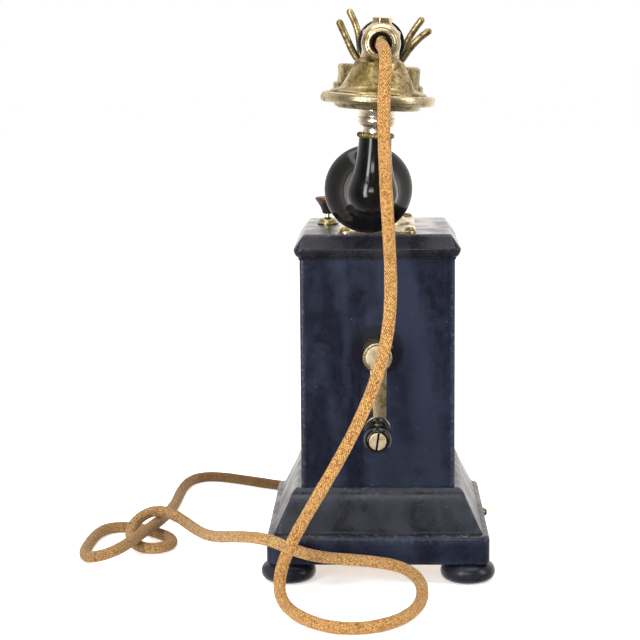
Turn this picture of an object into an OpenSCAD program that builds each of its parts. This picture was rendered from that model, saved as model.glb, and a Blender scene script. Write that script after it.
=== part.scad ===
// Crank telephone for a desk: wooden tower case with an inductor generator,
// ringer and switch inside, and a handset lying in a four-pronged cradle.
// The crank side of the case faces -Y, and Z is up from the surface it stands on.

/* [Case] */
// Width of the box
box_w = 93; // [92:0.5:94]
// Depth of the box, from the crank side to the far side
box_d = 119; // [118:0.5:120]
// Height of the box above the base moulding
box_h = 138.5; // [137:0.5:141]
// Thickness of the box's wooden panels
panel_t = 8; // [7:0.5:8]
// Thickness of the lid
lid_t = 15; // [14.5:0.25:15.5]

/* [Base] */
// Width of the plinth
plinth_w = 134; // [133:0.5:136]
// Depth of the plinth
plinth_d = 156.5; // [155.5:0.5:158]
// Height of the plinth
plinth_h = 17.5; // [17:0.25:18]
// Height of the sloping moulding on the plinth
moulding_h = 26.25; // [25.5:0.25:27]
// Largest radius of a bun foot
foot_r = 16.6; // [16:0.2:17]
// Height of a bun foot
foot_h = 12; // [11.7:0.1:12.3]

/* [Crank] */
// Distance from the crank shaft to the knob's pin
crank_throw = 42.5; // [41:0.5:44]
// Teeth on the large generator gear
gear_teeth = 72; // [72:1:72]
// Teeth on the armature pinion
pinion_teeth = 18; // [18:1:18]
// Gear module, pitch diameter over teeth
gear_module = 1; // [1:0.1:1]

/* [Handset] */
// Height of the grip's axis above the floor
grip_z = 322.2; // [322:0.1:323]
// Radius of the grip
grip_r = 10.6; // [10.2:0.1:10.7]
// Lean of the handset in its cradle, about the grip's axis
handset_roll = 3.6; // [0:0.1:4]
// Turn of the horn on its screw thread
horn_turn = 5; // [0:0.5:8]
// Radius of the transmitter's rim
rim_r = 33; // [32:0.1:33.4]
// Radius of the receiver's ear cap
cap_r = 30; // [29:0.1:30.4]

/* [Cord] */
// Diameter of the braided cord
cord_d = 7.4; // [7:0.1:7.4]

/* [Hidden] */
$fn = 64;

gap = 0.3;                    // between moving neighbours
seat = 0.05;                  // radial room of a part seated in a hole
run = 0.06;                   // radial running clearance of a shaft
eps = 0.5;                    // overshoot of a cutting tool

plinth_z0 = foot_h;
moulding_z0 = plinth_z0 + plinth_h;
box_z0 = moulding_z0 + moulding_h;
lid_z0 = box_z0 + box_h;
lid_z1 = lid_z0 + lid_t;
wall = 12;                    // width of the plinth's rails
board_t = 5;                  // bottom board
foot_x = 54.2;
foot_y = 65.5;

wood = "#23263a";
dark_wood = "#1c1e2c";
raw_wood = "#8a6a45";
nickel = "#a89c76";
brass = "#b08d3e";
steel = "#8e8f92";
ebonite = "#121214";
copper = "#9a5a34";
cotton = "#c8914c";

// Bun foot: a flat disc with a round edge.
foot_edge = 5.9;
module bun_foot(x, y) {
    color(wood)
    translate([x, y, 0])
    rotate_extrude()
    union() {
        square([foot_r - foot_edge, foot_h]);
        intersection() {
            translate([foot_r - foot_edge, foot_h / 2]) circle(foot_edge);
            square([foot_r, foot_h]);
        }
    }
}

// Board with rounded upright corners, lying on z = 0 and centred on the Z axis.
module rounded_board(w, d, h, r) {
    linear_extrude(h)
    union() {
        square([w - 2 * r, d], center = true);
        square([w, d - 2 * r], center = true);
        for (sx = [-1, 1])
            for (sy = [-1, 1])
                translate([sx * (w / 2 - r), sy * (d / 2 - r)]) circle(r);
    }
}

// Mitred frame or block: one outline of [inset, height] steps on all four sides.
module mitred_block(w, d, steps) {
    intersection() {
        rotate([90, 0, 0])
        linear_extrude(d + 2, center = true)
        polygon(concat(
            [for (s = steps) [w / 2 - s[0], s[1]]],
            [for (i = [len(steps) - 1 : -1 : 0]) [-w / 2 + steps[i][0], steps[i][1]]]));
        rotate([90, 0, 90])
        linear_extrude(w + 2, center = true)
        polygon(concat(
            [for (s = steps) [d / 2 - s[0], s[1]]],
            [for (i = [len(steps) - 1 : -1 : 0]) [-d / 2 + steps[i][0], steps[i][1]]]));
    }
}

// Block of size [w, d, h], centred on X and Y, standing on z.
module block(w, d, h, z = 0) {
    translate([-w / 2, -d / 2, z]) cube([w, d, h]);
}

// Cylinder along +Y from y0 to y1, on the axis (x, z).
module rod_y(x, z, y0, y1, r, r2 = undef) {
    translate([x, y0, z])
    rotate([-90, 0, 0])
    cylinder(h = y1 - y0, r1 = r, r2 = is_undef(r2) ? r : r2);
}

// ---- Base ----

gland_x = -20;
gland_z = 20;
gland_r = 6.5;

module plinth() {
    color(wood)
    difference() {
        translate([0, 0, plinth_z0]) rounded_board(plinth_w, plinth_d, plinth_h, 4.5);
        block(plinth_w - 2 * wall, plinth_d - 2 * wall, plinth_h + 2, plinth_z0 - 1);
        rod_y(gland_x, gland_z, plinth_d / 2 - wall - 1, plinth_d / 2 + 1, gland_r + seat);
    }
}

module bottom_board() {
    color(raw_wood)
    block(plinth_w - 2 * wall - 2 * seat, plinth_d - 2 * wall - 2 * seat, board_t, plinth_z0);
}

moulding_steps = [
    [4, 0], [4, 1.2], [5, 2.5], [8.6, 9.4], [11.7, 15.7], [13.9, 19.9], [15, 23.1], [15.2, 25.2],
    [17.5, moulding_h]
];
module base_moulding() {
    color(wood)
    difference() {
        translate([0, 0, moulding_z0]) mitred_block(plinth_w, plinth_d, moulding_steps);
        block(box_w + 5, box_d + 5, 12, moulding_z0 - 1);
        block(box_w - 2 * panel_t, box_d - 2 * panel_t, moulding_h + 2, moulding_z0 - 1);
    }
}

// ---- Box ----

crank_z = 139.5;
bush_r = 6;

module near_panel() {
    color(wood)
    difference() {
        translate([-box_w / 2, -box_d / 2, box_z0]) cube([box_w, panel_t, box_h]);
        rod_y(0, crank_z, -box_d / 2 - 1, -box_d / 2 + panel_t + 1, bush_r + seat);
    }
}

module far_panel() {
    color(wood)
    translate([-box_w / 2, box_d / 2 - panel_t, box_z0]) cube([box_w, panel_t, box_h]);
}

module side_panel(x) {
    color(wood)
    translate([x, -box_d / 2 + panel_t, box_z0]) cube([panel_t, box_d - 2 * panel_t, box_h]);
}

tube_r = 6.8;
stem_r = 1.6;
button_x = -31.2;
button_y = 12;
lid_overhang = 3.5;
lid_steps = [
    [lid_overhang - 0.5, 0], [lid_overhang - 0.9, 1.4], [lid_overhang - 2.3, 2.2], [0.6, 3.6], [0, 5.2],
    [0, 6.6], [0.7, 7.4], [5.7, lid_t - 0.4], [6.1, lid_t]
];

module lid() {
    color(dark_wood)
    difference() {
        translate([0, 0, lid_z0])
        mitred_block(box_w + 2 * lid_overhang, box_d + 2 * lid_overhang, lid_steps);
        translate([0, 0, lid_z0 - 1]) cylinder(h = lid_t + 2, r = tube_r + seat);
        translate([button_x, button_y, lid_z0 - 1]) cylinder(h = lid_t + 2, r = stem_r + run);
    }
}

// ---- Fittings on the lid ----

plate_w = 47;
plate_d = 105;
plate_t = 1.5;
plate_z1 = lid_z1 + plate_t;
screw_x = 19.5;
screw_y = 49;

module cradle_plate() {
    color(nickel)
    difference() {
        translate([0, 0, lid_z1]) rounded_board(plate_w, plate_d, plate_t, 5);
        translate([0, 0, lid_z1 - 1]) cylinder(h = plate_t + 2, r = tube_r + seat);
    }
}

// Head of a round-headed slotted screw, standing on z = 0.
module screw_head(r, h) {
    dome = (r * r + h * h) / (2 * h);
    difference() {
        intersection() {
            translate([0, 0, h - dome]) sphere(dome);
            translate([0, 0, h / 2]) cube([2 * r + 1, 2 * r + 1, h], center = true);
        }
        translate([0, 0, h]) cube([2 * r + 1, 0.25 * r, h], center = true);
    }
}

module plate_screws() {
    color(brass)
    for (sx = [-1, 1])
        for (sy = [-1, 1])
            translate([sx * screw_x, sy * screw_y, plate_z1]) screw_head(3.1, 2);
}

flange_r = 20.5;
flange_h = 7.2;
flange_lip = 1.4;
module column_flange() {
    rise = flange_h - flange_lip;
    dome = (flange_r * flange_r + rise * rise) / (2 * rise);
    color(nickel)
    translate([0, 0, plate_z1])
    difference() {
        union() {
            cylinder(h = flange_lip, r = flange_r);
            intersection() {
                translate([0, 0, flange_h - dome]) sphere(dome);
                translate([0, 0, flange_lip]) cylinder(h = flange_h, r = flange_r);
            }
            cylinder(h = flange_h + 4, r = 9.5);
        }
        translate([0, 0, -1]) cylinder(h = flange_h + 6, r = tube_r + seat);
    }
}

plunger_r = 4;
tube_z0 = lid_z0 - 4;
tube_z1 = 289;
collar_h = 6;
module column_tube() {
    color(nickel)
    difference() {
        union() {
            translate([0, 0, tube_z0]) cylinder(h = tube_z1 - tube_z0, r = tube_r);
            translate([0, 0, tube_z1 - collar_h]) cylinder(h = collar_h, r = tube_r + 2.5);
        }
        translate([0, 0, tube_z0 - 1]) cylinder(h = tube_z1 - tube_z0 + 2, r = plunger_r + run);
    }
}

rosette_h = 4.4;
module button_rosette() {
    color(nickel)
    translate([button_x, button_y, lid_z1])
    difference() {
        rotate_extrude()
        polygon([
            [0, 0], [6.5, 0], [6.5, 0.8], [5.9, 2.2], [4.3, 3.4], [2.6, 4.2],
            [2.6, rosette_h], [0, rosette_h]
        ]);
        translate([0, 0, -1]) cylinder(h = rosette_h + 2, r = stem_r + run);
    }
}

stem_z0 = lid_z0 - 3;
knob_z0 = lid_z1 + 6.6;
knob_h = 10.8;
module button_stem() {
    color(nickel)
    translate([button_x, button_y, 0])
    union() {
        translate([0, 0, stem_z0]) cylinder(h = knob_z0 - stem_z0, r = stem_r);
        translate([0, 0, stem_z0 - 1.6]) cylinder(h = 1.6, r = 3.2);
    }
}

module button_knob() {
    color(ebonite)
    translate([button_x, button_y, knob_z0])
    rotate_extrude()
    polygon([
        [0, 0], [3.3, 0], [3.6, 1.2], [4.2, 3], [5.4, 5.4], [7.1, 7.8], [7.9, 9.4], [7.7, 10.3],
        [6.8, knob_h], [0, knob_h]
    ]);
}

// ---- Generator ----

gear_y = -45;
gear_w = 5;
arm_z = crank_z - gear_module * (gear_teeth + pinion_teeth) / 2;
shaft_r = 4;
arm_shaft_r = 3;

module crank_bushing() {
    color(ebonite)
    difference() {
        union() {
            rod_y(0, crank_z, -box_d / 2 - 1.5, -box_d / 2, 9.6);
            rod_y(0, crank_z, -box_d / 2, -box_d / 2 + panel_t + 1.5, bush_r);
        }
        rod_y(0, crank_z, -box_d / 2 - 3, -box_d / 2 + panel_t + 3, shaft_r + run);
    }
}

shelf_z = 64;
shelf_t = 7;
module generator_shelf() {
    color(raw_wood)
    block(box_w - 2 * panel_t - 2 * seat, box_d - 2 * panel_t - 2 * seat, shelf_t, shelf_z);
}

frame_y0 = -36;
frame_y1 = 28;
frame_t = 3;
pole_r = 13.7;
pole_half = 20;
pole_h = 28;
module generator_plate(y, top) {
    difference() {
        translate([-30, y, shelf_z + shelf_t]) cube([60, frame_t, top - shelf_z - shelf_t]);
        rod_y(0, arm_z, y - 1, y + frame_t + 1, arm_shaft_r + run);
        rod_y(0, crank_z, y - 1, y + frame_t + 1, shaft_r + run);
    }
}
module generator_frame() {
    color(brass) {
        generator_plate(frame_y0, crank_z + 12);
        generator_plate(frame_y1, arm_z + 12);
        for (side = [-1, 1])
            difference() {
                translate([side > 0 ? 6 : -pole_half, frame_y0 + frame_t, arm_z - pole_h / 2])
                cube([pole_half - 6, frame_y1 - frame_y0 - frame_t, pole_h]);
                rod_y(0, arm_z, frame_y0, frame_y1 + 1, pole_r);
            }
    }
}

magnet_z = 138;
magnet_t = 12;
magnet_d = 18;
magnet_leg_z = arm_z - pole_h / 2;
module horseshoe(y) {
    r0 = pole_half + seat;
    r1 = r0 + magnet_t;
    translate([0, y, magnet_z])
    rotate([90, 0, 0])
    linear_extrude(magnet_d, center = true)
    difference() {
        union() {
            circle(r1);
            translate([-r1, magnet_leg_z - magnet_z]) square([2 * r1, magnet_z - magnet_leg_z]);
        }
        circle(r0);
        translate([-r0, magnet_leg_z - magnet_z - 1]) square([2 * r0, magnet_z - magnet_leg_z + 1]);
    }
}
module horseshoe_magnets() {
    color("#5b1d18")
    for (i = [-1 : 1])
        horseshoe(-2.5 + i * 19.5);
}

armature_r = 13.2;
armature_y0 = -30;
armature_y1 = 25;
module armature() {
    color(copper)
    difference() {
        rod_y(0, arm_z, armature_y0, armature_y1, armature_r);
        for (side = [-1, 1])
            translate([side * armature_r, (armature_y0 + armature_y1) / 2, arm_z])
            cube([9, armature_y1 - armature_y0 - 12, 12], center = true);
        rod_y(0, arm_z, armature_y0 - 1, armature_y1 + 1, arm_shaft_r + seat);
    }
}

module armature_shaft() {
    color(steel)
    rod_y(0, arm_z, gear_y - 5, frame_y1 + 5, arm_shaft_r);
}

// Spur gear blank with trapezoid teeth, in the XZ plane, from y0 over width w.
module spur_gear(teeth, y0, w, bore, phase) {
    pitch_r = gear_module * teeth / 2;
    root_r = pitch_r - 1.2 * gear_module;
    tip_r = pitch_r + 0.8 * gear_module;
    tooth = 360 / teeth;
    translate([0, y0 + w, 0])
    rotate([90, 0, 0])
    linear_extrude(w)
    difference() {
        polygon([
            for (i = [0 : teeth - 1])
                for (step = [[-0.28, root_r], [-0.11, tip_r], [0.11, tip_r], [0.28, root_r]])
                    let (a = phase + (i + step[0]) * tooth)
                        [step[1] * cos(a), step[1] * sin(a)]
        ]);
        circle(bore);
    }
}

module drive_gear() {
    color(brass)
    translate([0, 0, crank_z])
    spur_gear(gear_teeth, gear_y - gear_w / 2, gear_w, shaft_r + seat, -90);
}

module pinion() {
    color(steel)
    translate([0, 0, arm_z])
    spur_gear(
        pinion_teeth, gear_y - gear_w / 2 - 1, gear_w + 2, arm_shaft_r + seat, 90 + 180 / pinion_teeth
    );
}

// ---- Crank ----

hub_r = 8.7;
hub_y0 = -88;
hub_y1 = -box_d / 2 - 1.5 - gap;
eye_r = 8;
arm_t = 3.6;
knob_z = crank_z - crank_throw;
module crank_shaft() {
    color(steel)
    rod_y(0, crank_z, hub_y0 + 3, frame_y0 + frame_t + 4, shaft_r);
}

module crank_arm() {
    color(nickel)
    difference() {
        union() {
            rod_y(0, crank_z, hub_y0, hub_y0 + 5, hub_r);
            rod_y(0, crank_z, hub_y0, hub_y1, hub_r - 0.6);
            translate([0, hub_y0 + arm_t, crank_z])
            rotate([90, 0, 0])
            linear_extrude(arm_t)
            polygon([[-4.4, -6], [5.1, -6], [4.9, -crank_throw], [-2, -crank_throw]]);
            rod_y(0, knob_z, hub_y0, hub_y0 + arm_t, eye_r);
        }
        rod_y(0, crank_z, hub_y0 + 3, hub_y1 + 1, shaft_r + seat);
        rod_y(0, knob_z, hub_y0 - 1, hub_y0 + arm_t + 1, 2.5 + seat);
        translate([0, hub_y0, crank_z]) rotate([0, 35, 0]) cube([12, 1.6, 1.5], center = true);
    }
}

pin_r = 2.5;
knob_y0 = -124;
knob_y1 = hub_y0 - gap;
screw_r = 5;
module knob_pin() {
    color(steel)
    difference() {
        union() {
            rod_y(0, knob_z, knob_y0 + 1, hub_y0 + arm_t, pin_r);
            rod_y(0, knob_z, knob_y0 - 1, knob_y0 + 1.2, screw_r);
        }
        translate([0, knob_y0 - 1, knob_z])
        rotate([0, 8, 0])
        cube([1.3, 1.8, 2 * screw_r + 1], center = true);
    }
}

knob_profile = [
    [0, 0], [7.2, 0], [7.5, 1], [7.2, 2.5], [6, 4.2], [5.3, 6.5], [5.2, 9], [5.7, 13], [6.6, 17.5],
    [7.6, 22.5], [8.2, 27], [8.3, 30], [7.9, 32.6], [7.1, 34.3], [6.2, 35.2], [0, 35.2]
];
module crank_knob() {
    color(ebonite)
    translate([0, knob_y1, knob_z])
    rotate([90, 0, 0])
    difference() {
        rotate_extrude() polygon(knob_profile);
        translate([0, 0, -1]) cylinder(h = 40, r = pin_r + run);
        translate([0, 0, knob_y1 - knob_y0 - 1.2 - gap]) cylinder(h = 10, r = screw_r + gap);
    }
}

// ---- Ringer in the base ----

board_z1 = plinth_z0 + board_t;
gong_x = 27;
gong_y = -24;
gong_r = 22;
gong_z = 22;
gong_h = 11;
pivot_y = 12;
strike_z = gong_z + 2;

module ringer_frame() {
    color(steel) {
        difference() {
            union() {
                block(44, 6, 22, board_z1);
                for (side = [-1, 1])
                    translate([side * 12, 0, board_z1 + 14]) rod_y(0, 0, 0, 1, 5);
            }
            translate([0, 0, strike_z + 1]) cube([14, 8, 20], center = true);
        }
        translate([-22, 20, board_z1]) cube([44, 4, 28]);
        translate([0, pivot_y, board_z1]) cylinder(h = 5, r = 2);
        for (side = [-1, 1])
            translate([side * gong_x, gong_y, board_z1])
            cylinder(h = gong_z + gong_h - 1.7 - board_z1, r = 2.5);
    }
}

module ringer_coils() {
    color(copper)
    for (side = [-1, 1]) {
        rod_y(side * 12, board_z1 + 14, 24, 50, 8.5);
        rod_y(side * 12, board_z1 + 14, 50, 51.5, 9.5);
    }
}

module gongs() {
    dome = (gong_r * gong_r + gong_h * gong_h) / (2 * gong_h);
    color(brass)
    for (side = [-1, 1])
        translate([side * gong_x, gong_y, gong_z])
        difference() {
            intersection() {
                translate([0, 0, gong_h - dome]) sphere(dome, $fn = 96);
                cylinder(h = gong_h, r = gong_r + 1);
            }
            intersection() {
                translate([0, 0, gong_h - dome]) sphere(dome - 1.5, $fn = 96);
                translate([0, 0, -1]) cylinder(h = gong_h, r = gong_r + 1);
            }
        }
}

module clapper() {
    color(steel)
    union() {
        translate([0, pivot_y, board_z1 + 5 + gap]) cylinder(h = 12, r = 2.2);
        translate([0, pivot_y, strike_z + 4]) cube([34, 2.5, 7], center = true);
        rod_y(0, strike_z + 1, gong_y, pivot_y, 1);
        translate([0, gong_y, strike_z + 1]) sphere(3);
    }
}

// ---- Electrical parts in the box ----

module induction_coil() {
    color("#6b4a2c")
    translate([-24, 42, shelf_z + shelf_t]) {
        cylinder(h = 76, r = 7.5);
        for (z = [0, 73])
            translate([-9, -9, z]) cube([18, 18, 3]);
    }
}

module capacitor() {
    color("#7d7a6d")
    translate([2, 34, shelf_z + shelf_t]) cube([34, 14, 55]);
}

module terminal_block() {
    color(raw_wood)
    translate([-32, box_d / 2 - panel_t - 7, 160]) cube([64, 7, 14]);
    color(brass)
    for (i = [-2 : 2])
        rod_y(i * 12, 167, box_d / 2 - panel_t - 10, box_d / 2 - panel_t - 7, 3);
}

spring_z = 176;
module switch_springs() {
    color(brass) {
        for (i = [0 : 3])
            translate([-4, 8, spring_z + i * 3.4]) cube([8, 30, 0.6]);
    }
    color(ebonite)
    translate([-6, 30, lid_z0 - 21.5])
    difference() {
        cube([12, 12, 21.5]);
        for (i = [0 : 3])
            translate([1.9, -1, spring_z + i * 3.4 - lid_z0 + 21.5 - 0.05]) cube([8.2, 10, 0.7]);
    }
}

module cord_gland() {
    color(brass)
    difference() {
        union() {
            rod_y(gland_x, gland_z, plinth_d / 2 - wall, plinth_d / 2, gland_r);
            rod_y(gland_x, gland_z, plinth_d / 2, plinth_d / 2 + 2, 9);
            rod_y(gland_x, gland_z, plinth_d / 2 + 2, plinth_d / 2 + 5, 7, 5.6);
        }
        rod_y(gland_x, gland_z, plinth_d / 2 - wall - 3, plinth_d / 2 + 6, cord_d / 2 + 0.15);
    }
}

side_screw_y = 12;
module side_screw() {
    color(steel)
    translate([plinth_w / 2, side_screw_y, plinth_z0 + 11])
    rotate([0, 90, 0])
    screw_head(3, 3);
}

// ---- Cradle ----

beam_z = tube_z1 + gap;
beam_h = 9;
fork_y = 34;
saddle_z = 309.2;
prong_r = 2.2;

module plunger() {
    color(steel)
    translate([0, 0, 187]) cylinder(h = beam_z + 5 - 187, r = plunger_r);
}

module cradle_beam() {
    color(nickel)
    difference() {
        union() {
            translate([0, 0, beam_z]) cylinder(h = beam_h, r = 9);
            block(8, 2 * fork_y + 8, beam_h, beam_z);
            for (side = [-1, 1])
                translate([0, side * fork_y, beam_z]) cylinder(h = saddle_z - beam_z + 0.5, r = 3.6);
        }
        for (side = [-1, 1])
            translate([0, side * fork_y, saddle_z + 0.1])
            rotate([0, 90, 0])
            cylinder(h = 10, r = prong_r + 0.15, center = true);
        translate([0, 0, beam_z - 1]) cylinder(h = 6, r = plunger_r + seat);
    }
}

near_wire = [
    [-22.3, 335], [-19.4, 328.5], [-15.9, 320.6], [-12.3, 313.1], [-7.8, 309.7], [0.8, saddle_z],
    [9.5, 309.4], [14.9, 311], [18.8, 317.7], [24.5, 324.2], [31.6, 329.2]
];
far_wire = [
    [-17.3, 342.4], [-13.9, 335.7], [-11.3, 328.1], [-10.6, 318.5], [-9.7, 311.5], [-4.9, 309.6],
    [0.9, saddle_z], [7.6, 309.4], [13.2, 311.2], [17.4, 318.6], [21.7, 327.8], [28.7, 336.7]
];

module fork(y, outline) {
    centres = spline([for (p = outline) [p[0], y, p[1]]], 3);
    color(nickel)
    swept_tube(centres, prong_r, 0, len(centres) - 1, 12);
}

// ---- Handset, drawn with the grip's axis along Y at x = 0, z = 0 ----

grip_x = 2.6;
mouth_y = -88;
ear_y = 95;
module in_cradle() {
    translate([grip_x, 0, grip_z])
    rotate([0, handset_roll, 0])
    children();
}

head_y0 = -105;
head_y1 = -76;
hole_r = 5.3;
wire_bore_r = 3.5;
boss_z = 7.4;

module grip_tube() {
    color(ebonite)
    in_cradle()
    difference() {
        rod_y(0, 0, -72, 70, grip_r);
        rod_y(0, 0, -73, 71, wire_bore_r);
    }
}

module grip_collars() {
    color(ebonite)
    in_cradle()
    difference() {
        for (side = [0, 1])
            mirror([0, side, 0])
            difference() {
                rod_y(0, 0, head_y1, head_y1 + 5, 13.6);
                rod_y(0, 0, head_y1 - 1, head_y1 + 4, 8);
                rod_y(0, 0, head_y1 + 4, head_y1 + 6, grip_r + seat);
            }
        translate([0, mouth_y, cone_z - 8]) cylinder(h = 8, r1 = 17, r2 = 14.5);
    }
}

module transmitter_head() {
    color(nickel)
    in_cradle()
    difference() {
        union() {
            rod_y(0, 0, head_y0 + 1.5, head_y1, 11.3);
            rod_y(0, 0, head_y0, head_y0 + 1.6, 7.5);
            translate([0, mouth_y, -11.1]) cylinder(h = boss_z + 11.1, r = 10.8);
            translate([0, mouth_y, boss_z]) cylinder(h = 4, r1 = 9.4, r2 = 5.3);
        }
        rod_y(0, 0, head_y0 - 1, head_y0 + 20, hole_r);
        rod_y(0, 0, head_y0 + 19, head_y1 + 1, 7.5);
        translate([0, mouth_y, cone_z + seat])
        rotate_extrude()
        polygon(concat([[0, 0]], cone_outer, [[0, -cone_h]]));
    }
}

module head_nut() {
    color(nickel)
    in_cradle()
    translate([0, mouth_y, boss_z + 4])
    rotate(15)
    union() {
        cylinder(h = 2.6, r = 5.7, $fn = 6);
        translate([0, 0, 2.6]) cylinder(h = 0.5, r1 = 4.7, r2 = 4.2);
    }
}

cone_h = 20.9;
cone_outer = [
    [11, 0], [11.1, -0.8], [12.5, -2.1], [14.2, -2.6], [14.4, -3.5], [17, -8.7], [19.5, -13.7],
    [21.5, -17.3], [23.7, -18.9], [27.4, -19.5], [27.9, -20.1], [27.9, -cone_h]
];
cone_inner = [
    [26, -cone_h], [24.1, -20.5], [18.8, -16.4], [15.4, -9.6], [12.9, -4.8], [8.7, -3.5], [8.7, 0]
];
cone_z = -8.3;
module transmitter_cone() {
    color(nickel)
    in_cradle()
    translate([0, mouth_y, cone_z])
    rotate_extrude()
    polygon(concat(cone_outer, cone_inner));
}

rim_z = cone_z - cone_h;
rim_profile = [
    [7.9, -0.1], [29, -0.1], [31.4, 0], [32.5, -0.8], [33, -2.3], [32.9, -4.1], [32.1, -5.2],
    [30.8, -5.7], [25.7, -6], [24.8, -6.8], [24.4, -7.9], [23.2, -8.5], [7.9, -8.5]
];
module transmitter_rim() {
    color(nickel)
    in_cradle()
    translate([0, mouth_y, rim_z])
    rotate_extrude()
    scale([rim_r / 33, rim_r / 33])
    polygon(rim_profile);
}

module carbon_capsule() {
    color(brass)
    in_cradle()
    translate([0, mouth_y, rim_z])
    union() {
        cylinder(h = 1.2, r = 22.5);
        translate([0, 0, 1.2]) cylinder(h = 6.5, r = 15);
        translate([0, 0, 7.7]) cylinder(h = 6, r = 4);
    }
}

neck_h = 22;
neck_profile = [
    [5, 0], [7.8, 0], [7.8, -8.6], [12.2, -8.6], [12.2, -9.1], [10.7, -10.6], [10, -12.4], [10.1, -12.9],
    [11.1, -13.7], [11.4, -15.4], [11, -17.1], [9.7, -18], [8.1, -18.6], [7.9, -19.7], [8.1, -21.1],
    [8.1, -neck_h], [5, -neck_h]
];
module mouthpiece_neck() {
    color(nickel)
    in_cradle()
    translate([0, mouth_y, rim_z])
    rotate_extrude()
    polygon(neck_profile);
}

collar_z = rim_z - neck_h;
knurls = 30;
module knurled_collar() {
    color(nickel)
    in_cradle()
    translate([0, mouth_y, collar_z - 3])
    difference() {
        union() {
            cylinder(h = 3, r = 10);
            linear_extrude(2.2)
            polygon([
                for (i = [0 : 2 * knurls - 1])
                    let (r = i % 2 == 0 ? 10.9 : 10.2)
                        [r * cos(i * 180 / knurls), r * sin(i * 180 / knurls)]
            ]);
        }
        translate([0, 0, -1]) cylinder(h = 5, r = 5);
    }
}

// The horn's stem hangs from the collar, swells to an elbow and opens toward +Y.
stem_h = 31.5;
stem_profile = [
    [9.6, stem_h], [9.7, 26.7], [10, 21.8], [10.6, 17], [11.5, 12.2], [12.7, 7.8], [13.8, 3.9], [14.6, 0]
];
elbow_r = 14.6;
elbow_z = collar_z - 3 - stem_h;
bell_profile = [
    [16.1, 9], [16.4, 10.6], [18, 13], [19.9, 15.4], [22.3, 18], [24.2, 20.4], [25.6, 23], [26.2, 25.6],
    [25.6, 26.2], [24.6, 25.4], [23.1, 22.2], [20.3, 18.8], [16.1, 15.2], [12.2, 12.4], [9.3, 8], [7.8, 3]
];
module horn() {
    color(ebonite)
    in_cradle()
    translate([0, mouth_y, elbow_z])
    rotate([0, 0, horn_turn])
    difference() {
        union() {
            rotate_extrude()
            polygon(concat([[0, stem_h]], stem_profile, [[0, 0]]));
            sphere(elbow_r);
            rotate([-90, 0, 0]) cylinder(h = 9.2, r1 = elbow_r - 0.4, r2 = 16);
            rotate([-90, 0, 0])
            rotate_extrude()
            polygon(concat([[0, 9]], bell_profile, [[0, 3]]));
        }
        translate([0, 0, 3]) cylinder(h = 40, r = 4.6);
        sphere(8);
    }
}

receiver_z = -14.9;
cup_r = 27.4;
module receiver_head() {
    color(nickel)
    in_cradle()
    difference() {
        union() {
            rod_y(0, 0, -head_y1, ear_y, 11.3);
            translate([0, ear_y, receiver_z]) cylinder(h = boss_z - receiver_z, r = 10.8);
            translate([0, ear_y, boss_z]) cylinder(h = 4, r1 = 9.4, r2 = 5.3);
            translate([0, ear_y, boss_z + 3.9]) cylinder(h = 2.7, r = 5.2, $fn = 6);
        }
        rod_y(0, 0, -head_y1 - 1, ear_y, 7.5);
    }
}

cup_h = 12.5;
cup_flange = 6.5;
module receiver_cup() {
    color(nickel)
    in_cradle()
    translate([0, ear_y, receiver_z - cup_h])
    difference() {
        union() {
            cylinder(h = cup_h - 1.5, r = cup_r);
            translate([0, 0, cup_h - 1.5]) cylinder(h = 1.5, r1 = cup_r, r2 = cup_r - 1.5);
            translate([0, 0, -cup_flange]) cylinder(h = cup_flange, r = cap_r);
        }
        translate([0, 0, -cup_flange - 1]) cylinder(h = cup_h + cup_flange - 1.5, r = cup_r - 2);
        cylinder(h = cup_h + 1, r = 6);
    }
}

cap_profile = [
    [25.3, -3], [25.3, -6.5], [29, -6.5], [29.4, -7], [29.4, -9.7], [28.6, -12], [26, -13.1],
    [19.3, -13.5], [13.5, -11.4], [7.7, -8.3], [5.3, -7.7], [5.3, -5.2], [19.3, -4.4], [22, -3]
];
module receiver_cap() {
    color(ebonite)
    in_cradle()
    translate([0, ear_y, receiver_z - cup_h])
    rotate_extrude()
    polygon(cap_profile);
}

// ---- Cord ----

// Route of the cord's centre, as the control points of a smooth spline, from inside
// the transmitter head, down past the crank, in loops on the floor, and to the gland.
lie = cord_d / 2;
CORD_ROUTE = [
    [3, -98, 321], [3, -113, 321], [6, -131, 316], [3, -128, 286], [6, -130, 223], [10, -133, 164],
    [-8, -132, 112], [-33, -128, 68], [-51, -119, 36], [-59, -117, 13], [-54, -147, lie], [-23, -187, lie],
    [13, -171, lie], [30, -118, lie], [20, -81, 16], [-42, -85, 17], [-62, -87, 31], [-88, -66, 27],
    [-110, -13, 12], [-130, 24, 18], [-148, 30, 22], [-163, 15, 12], [-156, -7, lie], [-137, -8, lie],
    [-130, 14, lie], [-145, 34, lie], [-164, 51, lie], [-184, 49, lie], [-187, 4, lie], [-186, -36, lie],
    [-162, -42, 10], [-149, 4, 13.6], [-142, 37, 12], [-141, 117, lie], [-143, 190, lie], [-124, 213, lie],
    [-74, 172, lie], [-19, 150, lie], [-20, 104, 20], [gland_x, plinth_d / 2 + 3, gland_z]
];
rings_per_span = 2;
cord_sides = 10;
cord_split = 17;              // ring at which the hanging length becomes the lying length

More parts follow.
